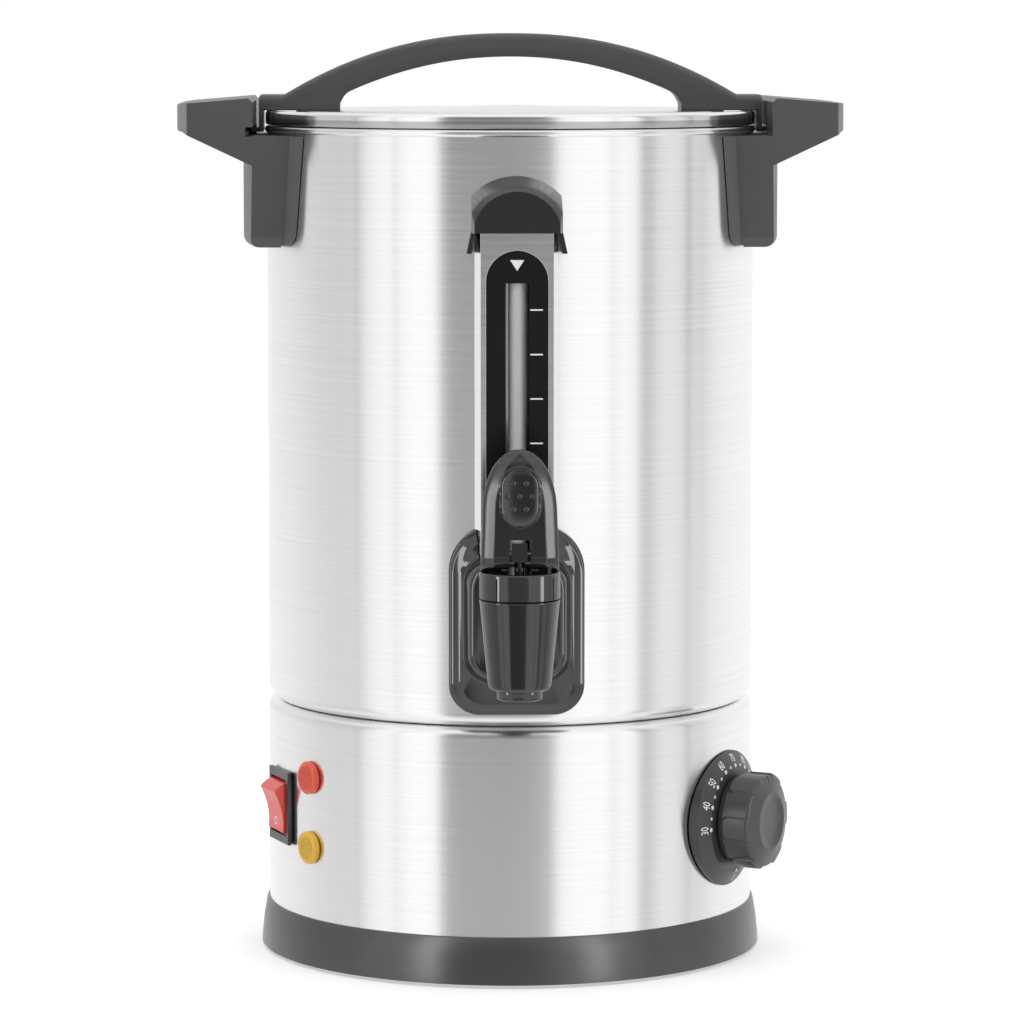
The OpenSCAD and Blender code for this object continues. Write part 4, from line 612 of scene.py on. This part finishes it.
def build_lever():
    """Paddle: bevelled front, thumb dish with dots, hollow foot with the stem's notch."""
    belt = 0.44 * LEVER_H
    edge_w = 6.0

    def half(z):
        """Half of the paddle's width, widest at the foot."""
        h = z - LEVER_FOOT
        if h < belt:
            return LEVER_W / 2 * (1 - 0.05 * h / belt)
        return LEVER_W / 2 * 0.95 * max(0.0, 1 - ((h - belt) / (LEVER_H - belt)) ** 2.3) ** 0.5

    def track(points, h):
        """How far the front or back stands out at a height, from its (share of height, mm) points."""
        h /= LEVER_H
        for (h0, a0), (h1, a1) in zip(points, points[1:]):
            if h <= h1:
                t = (h - h0) / (h1 - h0)
                t = t * t * (3 - 2 * t) * 0.35 + t * 0.65
                return a0 + (a1 - a0) * t
        return points[-1][1]

    front = [(0, 6.5), (0.02, 9.9), (0.045, 11.5), (0.08, 12.5), (0.123, 13.0), (0.36, 12.2),
             (0.64, 9.4), (0.87, 6.4), (0.97, 4.2), (1, 2.4)]
    back = [(0, -12), (0.2, -12), (0.32, -7), (0.6, -2.4), (0.85, -3.4), (1, -0.6)]
    dish_z = LEVER_FOOT + 0.62 * LEVER_H
    dish_r, dish_straight, dish_deep = 9.2, 4.3, 2.1
    rim_h, rim_w = 0.35, 0.55

    def dish(x, z):
        """Depth of the thumb dish, an oval bowl with a slight rim."""
        reach = math.hypot(x, max(0.0, abs(z - dish_z) - dish_straight)) - dish_r
        bowl = dish_deep * max(0.0, 1 - (1 + reach / dish_r) ** 2) ** 0.6 if reach < 0 else 0.0
        return bowl - rim_h * math.exp(-(reach / rim_w) ** 2)

    heights = [LEVER_H * (1 - (1 - i / 120) ** 1.5) for i in range(121)]
    heights[-1] = LEVER_H - 0.02
    cols = 100
    rings = []
    for h in heights:
        z = LEVER_FOOT + h
        w = half(z)
        f, b = track(front, h), track(back, h)
        row = []
        for k in range(cols + 1):
            u = 2 * k / cols - 1
            u = 1.25 * u - 0.25 * u ** 5
            x = w * u
            edge = max(0.0, (abs(x) - (w - edge_w)) / edge_w) if w > edge_w else abs(u)
            drop = 3.6 * edge + 1.2 * (1 - math.sqrt(max(0.0, 1 - edge ** 6)))
            sunk = dish(x, z) if edge < 0.3 else 0
            row.append((x, CUP_Y - (f - drop * min(1, (f - b) / 8)) + sunk, z))
        for k in range(41):
            u = -math.sin(math.pi * (k / 40 - 0.5))
            row.append((w * u * 0.985, CUP_Y - b - 0.6 * (1 - u * u), z))
        rings.append(row)
    paddle = loft("paddle", rings, 45)
    hollow_side = [(14, -1), (14, 0.22 * LEVER_H), (5, 0.34 * LEVER_H), (-5, 0.34 * LEVER_H),
                   (-9.2, 0.28 * LEVER_H), (-10.2, 7), (-10.2, -1)]
    hollow = loft("hollow", [[(x, CUP_Y + y, LEVER_FOOT + h) for y, h in hollow_side]
                             for x in (-15.2, 15.2)])
    notch = block("notch", (-5.15, CUP_Y - 30, LEVER_FOOT - 1), (5.15, CUP_Y, LEVER_FOOT + 15.3))
    paddle = cut(paddle, hollow, notch)
    parts = [paddle]
    for s in (-1, 1):
        parts.append(block("rib", (s * 7 - 1.7, CUP_Y - 9.6, LEVER_FOOT + 0.4),
                           (s * 7 + 1.7, CUP_Y + 8.4, LEVER_FOOT + 0.34 * LEVER_H + 0.5)))
    dot_r, dot_gap = 1.5, 6
    dome = [(dot_r * math.cos(t), 0.95 * math.sin(t) - 0.2) for t in
            [math.pi / 2 * j / 6 for j in range(7)]]
    for row, count in ((-1, 2), (0, 3), (1, 2)):
        for k in range(count):
            x, z = (k - (count - 1) / 2) * dot_gap, dish_z + row * dot_gap
            f = track(front, z - LEVER_FOOT) - dish(x, z)
            dot = lathe("dot", [(dot_r, -0.9)] + dome[:-1] + [(0, 0.75), (0, -0.9)], 24)
            dot.matrix_world = (Matrix.Translation((x * MM, (CUP_Y - f) * MM, z * MM))
                                @ Matrix.Rotation(math.radians(90), 4, "X"))
            parts.append(dot)
    settle(joined("tap_lever_moulding", parts), lever_black, "lever", "black_gloss", "tap_lever")


# ---------------------------------------------------------------- gauge

def build_gauge():
    """CAD guard and cap with rounded edges, and the printed marks of the scale."""
    guard = soft("gauge_guard", "gauge_guard_channel", 0.25, 2, 30)
    settle(guard, steel_flat, "urn", "steel_brushed", "gauge_guard")
    cap = soft("gauge_cap", "gauge_cap_moulding", 0.9, 3, 30)
    settle(cap, lever_black, "urn", "black_satin", "gauge_cap")

    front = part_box("gauge_scale")[0].y * 1000 - 0.06
    back = front + 0.1
    bars = [block("bar", (6.3, front, z - 0.35), (12.3, back, z + 0.35))
            for z in (330.8, 309.5, 288.3, 267.0)]
    corners = ((-3.4, 354.6), (3.4, 354.6), (0, 349.4))
    top = mesh_object("mark", [(x, y, z) for y in (front, back) for x, z in corners],
                      [(0, 1, 2), (3, 5, 4), (0, 3, 4, 1), (1, 4, 5, 2), (2, 5, 3, 0)])
    settle(joined("gauge_marks", bars + [top]), white_print, "urn", "black_scale")


# ---------------------------------------------------------------- dial, switch, lamps

def side_text(name, body, size, matrix, depth=0.05):
    """Flat lettering, made into a mesh, in a side frame."""
    curve = bpy.data.curves.new(name, "FONT")
    curve.body = body
    curve.size = size * MM
    curve.extrude = depth * MM
    curve.align_x = "CENTER"
    curve.align_y = "CENTER"
    text = linked(name, curve)
    bpy.context.view_layer.update()
    mesh = bpy.data.meshes.new_from_object(
        text.evaluated_get(bpy.context.evaluated_depsgraph_get()))
    bpy.data.objects.remove(text)
    place = matrix.copy()
    place.translation *= MM
    mesh.transform(place)
    return linked(name, mesh)


def build_dial():
    """Number disc: dots and figures follow the flat middle and the sloping ring."""
    flat_r, slope, slant = 26.8, 0.5484, 0.877
    dot_r, number_r, number_size, narrow = 26.6, 30.1, 6.0, 0.7
    first_turn, turn_step, zero_turn = -94.2, 11.85, 176
    side = facing(DIAL_AZ, DIAL_Z)
    disc = soft("thermostat_bezel", "dial_disc_moulding", 0.3, 3, 20)
    settle(disc, knob_black, "urn", "black_satin", "thermostat_bezel")

    def laid(obj, turn, r, squash=1.0):
        """Lays flat artwork at the mark's place on the disc; its top points outwards."""
        for v in obj.data.vertices:
            u, w, lift = (c * 1000 for c in v.co)
            u, w = u * squash, r + w * slant
            x, y = w * math.sin(turn) + u * math.cos(turn), w * math.cos(turn) - u * math.sin(turn)
            high = DIAL_FRONT - max(0.0, math.hypot(x, y) - flat_r) * slope
            v.co = (side @ Vector((x, y, high + lift + 0.04))) * MM
        return obj

    def dot(turn, size):
        return laid(lathe("dot", [(0, -0.3), (size, -0.3), (size, 0.03), (0, 0.03)], 20), turn, dot_r)

    def number(turn, value):
        flat = side_text("number", str(value), number_size, Matrix.Identity(4))
        return laid(flat, turn, number_r, narrow)

    marks = []
    for i in range(17):
        turn = math.radians(first_turn + turn_step * i)
        marks.append(dot(turn, 0.8 if i % 2 else 1.1))
        if i % 2 == 0:
            marks.append(number(turn, 30 + 5 * i))
    marks += [dot(math.radians(zero_turn), 1.0), number(math.radians(zero_turn), 0)]
    settle(joined("dial_marks", marks), white_print, "urn", "black_satin")
    build_knob()


def build_knob():
    """Six raised pads blend into the side, a shallow cone and a dish form the front."""
    skirt_r, pad_r = 22.8, 24.0
    pad_turn, pad_pitch, pad_half, pad_foot, pad_corner, blend = 3, 60, 2.8, 6.2, 2.6, 0.9
    back_row = [(20.4, 0.0), (21.4, 0.4), (21.7, 2.2), (22.4, 2.35), (22.75, 2.8), (22.8, 3.4)]
    rows = [(p, p) for p in back_row]
    rows += [((skirt_r, h), (pad_r, h)) for h in (3.8, 4.1, 4.4, 4.8, 5.2, 5.7, 6.3, 7, 9, 12, 15.6)]

    def bend(a, b, c, t):
        """Point of the curve from a to c that leans towards b."""
        return tuple(a[i] * (1 - t) ** 2 + 2 * b[i] * t * (1 - t) + c[i] * t * t for i in (0, 1))

    meet = (17.55, 18.65)
    low = ((skirt_r, 15.7), (skirt_r, 17.0), (21.54, 17.4))
    high = ((pad_r, 15.7), (pad_r, 17), (22.7, 17.33))
    rows += [(bend(*low, t), bend(*high, t)) for t in (0.15, 0.35, 0.55, 0.75, 1.0)]
    for k in range(1, 5):
        rows.append(tuple(tuple(e[2][i] + (meet[i] - e[2][i]) * k / 4 for i in (0, 1))
                          for e in (low, high)))
    rows += [(p, p) for p in [(15.8, 19.2), (14.35, 19.64), (14.05, 19.7), (13.7, 19.62),
                              (12.6, 19.2), (11.2, 18.7), (9.6, 18.32), (7.5, 18.12), (4, 18.1)]]
    count = 360
    rings = []
    # Each row gives (radius, height) between the pads and on them
    for (rb, hb), (rp, hp) in rows:
        ring = []
        for k in range(count):
            turn = 2 * math.pi * k / count
            off = (math.degrees(turn) - pad_turn + pad_pitch / 2) % pad_pitch - pad_pitch / 2
            across = abs(rb * math.sin(math.radians(off)))
            qx, qh = across - pad_half, pad_foot - hb
            reach = (math.hypot(qx, qh) if qx > 0 and qh > 0 else max(qx, qh)) - pad_corner
            t = min(1.0, max(0.0, 0.5 - reach / blend))
            t = t * t * (3 - 2 * t)
            r, h = rb + (rp - rb) * t, hb + (hp - hb) * t
            ring.append((r * math.cos(turn), r * math.sin(turn), KNOB_BACK + h))
        rings.append(moved(ring, facing(DIAL_AZ, DIAL_Z)))
    knob = loft("thermostat_knob_moulding", rings, 50)
    front = KNOB_BACK + KNOB_D
    wedge = [[(-1.7, 25.5, front + 1), (1.7, 25.5, front + 1), (0, 25.5, front - 6)],
             [(-0.3, 14.9, front + 0.6), (0.3, 14.9, front + 0.6), (0, 14.9, front - 0.5)]]
    notch = loft("pointer", [moved(ring, facing(DIAL_AZ, DIAL_Z)) for ring in wedge])
    settle(cut(knob, notch), knob_black, "dial_knob", "black_satin", "thermostat_knob")


def build_switch():
    """CAD frame and rocker with rounded edges; the marks lie on the rocker's hollow face."""
    hollow_r, hollow_axis = 34.7, 41.9
    case = soft("switch_body", "switch_frame_moulding", 0.5, 2, 40)
    settle(case, knob_black, "urn", "black_satin", "switch_body")
    rocker = soft("switch_rocker", "switch_rocker_moulding", 0.6, 3, 30)
    settle(rocker, red, "rocker", "red_translucent", "switch_rocker")
    tilt = facing(SWITCH_AZ, SWITCH_Z) @ Matrix.Translation((0, 0, ROCKER_R)) @ Matrix.Rotation(
        math.radians(ROCKER_TILT), 4, "X")
    marks = []
    for y, kind in ((-6.4, "O"), (6.2, "I")):
        high = hollow_axis - math.sqrt(hollow_r ** 2 - y * y) + 0.05
        lean = math.asin(y / hollow_r)
        spot = tilt @ Matrix.Translation((0, y, high)) @ Matrix.Rotation(lean, 4, "X")
        marks.append(side_text("mark", kind, 6.0, spot))
    settle(joined("switch_marks", marks), white_print, "rocker", "red_translucent")


def build_lamps():
    """Lens with a plain bevelled rim around a fine honeycomb front."""
    front_r, pitch = 5.6, 0.85
    row_share, corner_share = 0.866, 0.577
    for kind, look, slot in (("heat", lens_red, "red_translucent"),
                             ("warm", lens_amber, "amber_translucent")):
        rim = lathe("rim", [(5.6, 123.1), (LENS_R, 123.1), (LENS_R, 124.8), (8.0, 125.1),
                            (6.5, 126.0), (6.2, 126.1), (6.0, 125.95), (0, 125.9), (0, 124.7),
                            (5.6, 124.7)], 96, 28)
        verts, faces = [], []
        for j in range(-8, 9):
            for i in range(-8, 9):
                cx, cy = (i + 0.5 * (j % 2)) * pitch, j * pitch * row_share
                if math.hypot(cx, cy) > front_r:
                    continue
                n = len(verts)
                cell_r = pitch * corner_share
                for k in range(6):
                    turn = math.pi * k / 3
                    verts.append((cx + cell_r * math.sin(turn), cy + cell_r * math.cos(turn), 125.85))
                verts.append((cx, cy, 126.35))
                faces += [(n + k, n + (k + 1) % 6, n + 6) for k in range(6)]
                faces.append(tuple(n + k for k in range(5, -1, -1)))
        facets = mesh_object("facets", verts, faces, 10)
        lens = joined(f"lamp_{kind}_lens_moulding", [rim, facets])
        lens.data.transform(Matrix.Scale(1000, 4))
        lens.data.transform(facing(LAMP_AZ, LAMP_ZS[kind]))
        lens.data.transform(Matrix.Scale(MM, 4))
        settle(lens, look, "urn", slot, f"lamp_{kind}_lens")


# ---------------------------------------------------------------- pieces that stay as they are

KEPT = {
    zinc_plate: ("bottom_cover", "tie_studs", "tie_nuts", "cutout_screws", "thermostat_screws",
                 "thermostat_shaft", "bulb_clip", "lamp_clips", "lever_pin", "tap_spring",
                 "lid_screws", "handle_screws"),
    rubber: ("foot_ring", "tap_washers"),
    aluminium: ("heater_plate",),
    sheath: ("heater_element",),
    ceramic: ("heater_terminals", "cutout", "thermostat_body"),
    copper: ("capillary_tube", "sensor_bulb"),
    satin: ("lamp_bodies", "cable_gland", "gland_nut"),
    nylon: ("terminal_block", "tap_nut", "gauge_fitting"),
    gloss: ("valve_stem",),
    brass: ("earth_stud", "gauge_nut"),
    lead_red: ("wiring",),
    silicone: ("valve_seal",),
    silicone_red: ("gauge_seals",),
    glass: ("gauge_tube",),
    strip_black: ("gauge_scale",),
}


def dress_kept():
    """Materials of the CAD nodes that no piece replaces."""
    for look, nodes in KEPT.items():
        for name in nodes:
            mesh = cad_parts[name].data
            mesh.materials.clear()
            mesh.materials.append(look)


# ---------------------------------------------------------------- stage

# Tone of the studio by azimuth in degrees: 0 is the front, where the camera stands, 90 the right
STUDIO_TONES = [
    (-180, 0.80), (-130, 0.70), (-104, 0.565), (-86, 0.52), (-80, 0.6), (-78.6, 0.22), (-77, 0.6),
    (-71, 0.82), (-62, 0.93), (-58, 0.9), (-56.6, 0.45), (-55, 0.92), (-44, 0.98), (-36, 0.94),
    (-34, 0.42), (-30, 0.2), (-10, 0.2), (8, 0.22), (17, 0.3), (20.5, 0.72), (23, 0.9), (32, 0.96),
    (45, 0.98), (48, 0.72), (50.5, 0.93), (60, 0.94), (62.5, 0.6), (64, 0.36), (68, 0.42),
    (73, 0.66), (80, 0.72), (88, 0.66), (90.3, 0.5), (91.6, 0.16), (93.2, 0.58), (97, 0.62),
    (101, 0.52), (106, 0.66), (118, 0.78), (140, 0.84), (180, 0.80)]
STUDIO_STRENGTH = 1.13

# Share of white by how far a direction points down, from 0 for level to 1 for straight down
WHITE_BELOW = [(0.03, 0), (0.13, 0.26), (0.19, 0.9), (0.24, 0.8), (0.275, 0.03), (0.5, 0.03),
               (0.65, 0.6), (0.85, 1)]
SKY_FROM, SKY_FULL = 0.5, 0.8
WHITE = (1, 1, 1, 1)

FLOOR_R, FLOOR_THICK, FLOOR_GLOW = 6000, 5, 0.32

# Lamps and camera in metres, angles in degrees
LIT_POINT = (0, 0, 0.25)
STRIP_SIZE, STRIP_REACH, STRIP_Z, STRIP_AIM = (0.3, 1.3), 1.6, 0.5, (0, 0, 0.3)
LENS, SENSOR = 163.35, 36
EYE, EYE_TILT, EYE_TURN = (-0.0594, -2.3462, 0.4647), 84.0465, -1.475


def lamp(name, size, power, place, target):
    """Rectangular area light that faces the target."""
    data = bpy.data.lights.new(name, "AREA")
    data.shape = "RECTANGLE"
    data.size, data.size_y = size
    data.energy = power
    obj = linked(name, data)
    obj.location = place
    obj.rotation_euler = (Vector(target) - Vector(place)).to_track_quat("-Z", "Y").to_euler()
    return obj


def build_strips():
    """Tall narrow lights for the black mouldings only: they draw light lines along their sides."""
    sets = {"tap_side": (60, 5.0, ("tap_body_moulding", "tap_collar_moulding", "escutcheon",
                                   "spout_nozzle_moulding", "tap_lever_moulding",
                                   "thermostat_knob_moulding")),
            "ring_side": (38, 4.0, ("base_ring_moulding",))}
    for name, (turn, power, pieces) in sets.items():
        lit = bpy.data.collections.new(name)
        for piece in pieces:
            lit.objects.link(bpy.data.objects[piece])
        for side, sign in (("left", -1), ("right", 1)):
            a = math.radians(sign * turn)
            place = (STRIP_REACH * math.sin(a), -STRIP_REACH * math.cos(a), STRIP_Z)
            strip = lamp(f"{name}_{side}", STRIP_SIZE, power, place, STRIP_AIM)
            strip.visible_camera = False
            strip.light_linking.receiver_collection = lit


def fill_ramp(ramp, stops):
    """Puts stops of (place, tone) on a new colour ramp, which has two already."""
    elements = ramp.color_ramp.elements
    for i, (spot, tone) in enumerate(stops):
        stop = elements[i] if i < 2 else elements.new(spot)
        stop.position = spot
        stop.color = (tone, tone, tone, 1)


def build_studio():
    """World: a ring of tones for reflections, white below and above, plain white for the camera."""
    world = bpy.data.worlds.new("studio")
    bpy.context.scene.world = world
    world.use_nodes = True
    tree = world.node_tree
    tree.nodes.clear()

    def node(kind, inputs=(), **settings):
        return add_node(tree, kind, inputs, **settings)

    direction = node("ShaderNodeTexCoord").outputs["Generated"]
    axes = node("ShaderNodeSeparateXYZ", {0: direction})
    minus_y = node("ShaderNodeMath", {0: axes.outputs[1], 1: -1.0}, operation="MULTIPLY")
    azimuth = node("ShaderNodeMath", {0: axes.outputs[0], 1: minus_y.outputs[0]},
                   operation="ARCTAN2")
    place = node("ShaderNodeMapRange", {"Value": azimuth.outputs[0], "From Min": -math.pi,
                 "From Max": math.pi})
    # A colour ramp holds 32 stops at most, so the left and the right half have one each
    halves = []
    for low, high in ((-180, 0), (0, 180)):
        ramp = node("ShaderNodeValToRGB", {0: place.outputs[0]})
        fill_ramp(ramp, [((deg + 180) / 360, tone) for deg, tone in STUDIO_TONES
                         if low <= deg <= high])
        halves.append(ramp.outputs[0])
    right = node("ShaderNodeMath", {0: place.outputs[0], 1: 0.5}, operation="GREATER_THAN")
    around = mix_colors(tree, right.outputs[0], *halves)
    strong = node("ShaderNodeVectorMath", {0: around, "Scale": STUDIO_STRENGTH}, operation="SCALE")
    depth = node("ShaderNodeMath", {0: axes.outputs[2], 1: -1.0}, operation="MULTIPLY")
    below = node("ShaderNodeValToRGB", {0: depth.outputs[0]})
    fill_ramp(below, WHITE_BELOW)
    low = mix_colors(tree, below.outputs[0], strong.outputs[0], WHITE)
    up = node("ShaderNodeMapRange", {"Value": axes.outputs[2], "From Min": SKY_FROM,
              "From Max": SKY_FULL})
    sky = mix_colors(tree, up.outputs[0], low, WHITE)
    path = node("ShaderNodeLightPath")
    direct = node("ShaderNodeMath", {0: path.outputs["Is Camera Ray"],
                  1: path.outputs["Is Transmission Ray"]}, operation="MAXIMUM")
    shown = mix_colors(tree, direct.outputs[0], sky, WHITE)
    light = node("ShaderNodeBackground", {"Color": shown, "Strength": 1.0})
    node("ShaderNodeOutputWorld", {0: light.outputs[0]})


def build_floor():
    """White floor that the camera sees glow a little and that shows in no reflection."""
    ground = lathe("floor", [(0, 0), (FLOOR_R, 0), (FLOOR_R, -FLOOR_THICK), (0, -FLOOR_THICK)], 96)
    paper = Look("floor_paper", (0.9, 0.9, 0.9), Roughness=0.9)
    by_camera = paper.node("ShaderNodeLightPath").outputs["Is Camera Ray"]
    paper.bsdf.inputs["Emission Color"].default_value = WHITE
    paper.tree.links.new(paper.ramp(by_camera, 0.0, FLOOR_GLOW), paper.bsdf.inputs["Emission Strength"])
    ground.data.materials.append(paper.mat)
    ground.visible_glossy = False


def build_camera():
    camera = bpy.data.cameras.new("camera")
    camera.lens = LENS
    camera.sensor_width = SENSOR
    eye = linked("camera", camera)
    eye.location = EYE
    eye.rotation_euler = (math.radians(EYE_TILT), 0, math.radians(EYE_TURN))
    bpy.context.scene.camera = eye


def build_stage():
    """Studio, floor, two soft lamps and the camera."""
    build_studio()
    build_floor()
    key = lamp("key", (1.4, 1.4), 9, (-1.6, -1.5, 2.0), LIT_POINT)
    fill = lamp("fill", (1.2, 1.2), 5, (1.8, -1.2, 1.4), LIT_POINT)
    key.visible_glossy = False
    fill.visible_glossy = False
    build_camera()
    bpy.context.scene.view_settings.view_transform = "Standard"


build_stage()
build_body()
build_lid_handle()
build_side_handles()
build_tap()
build_gauge()
build_dial()
build_switch()
build_lamps()
dress_kept()
build_strips()
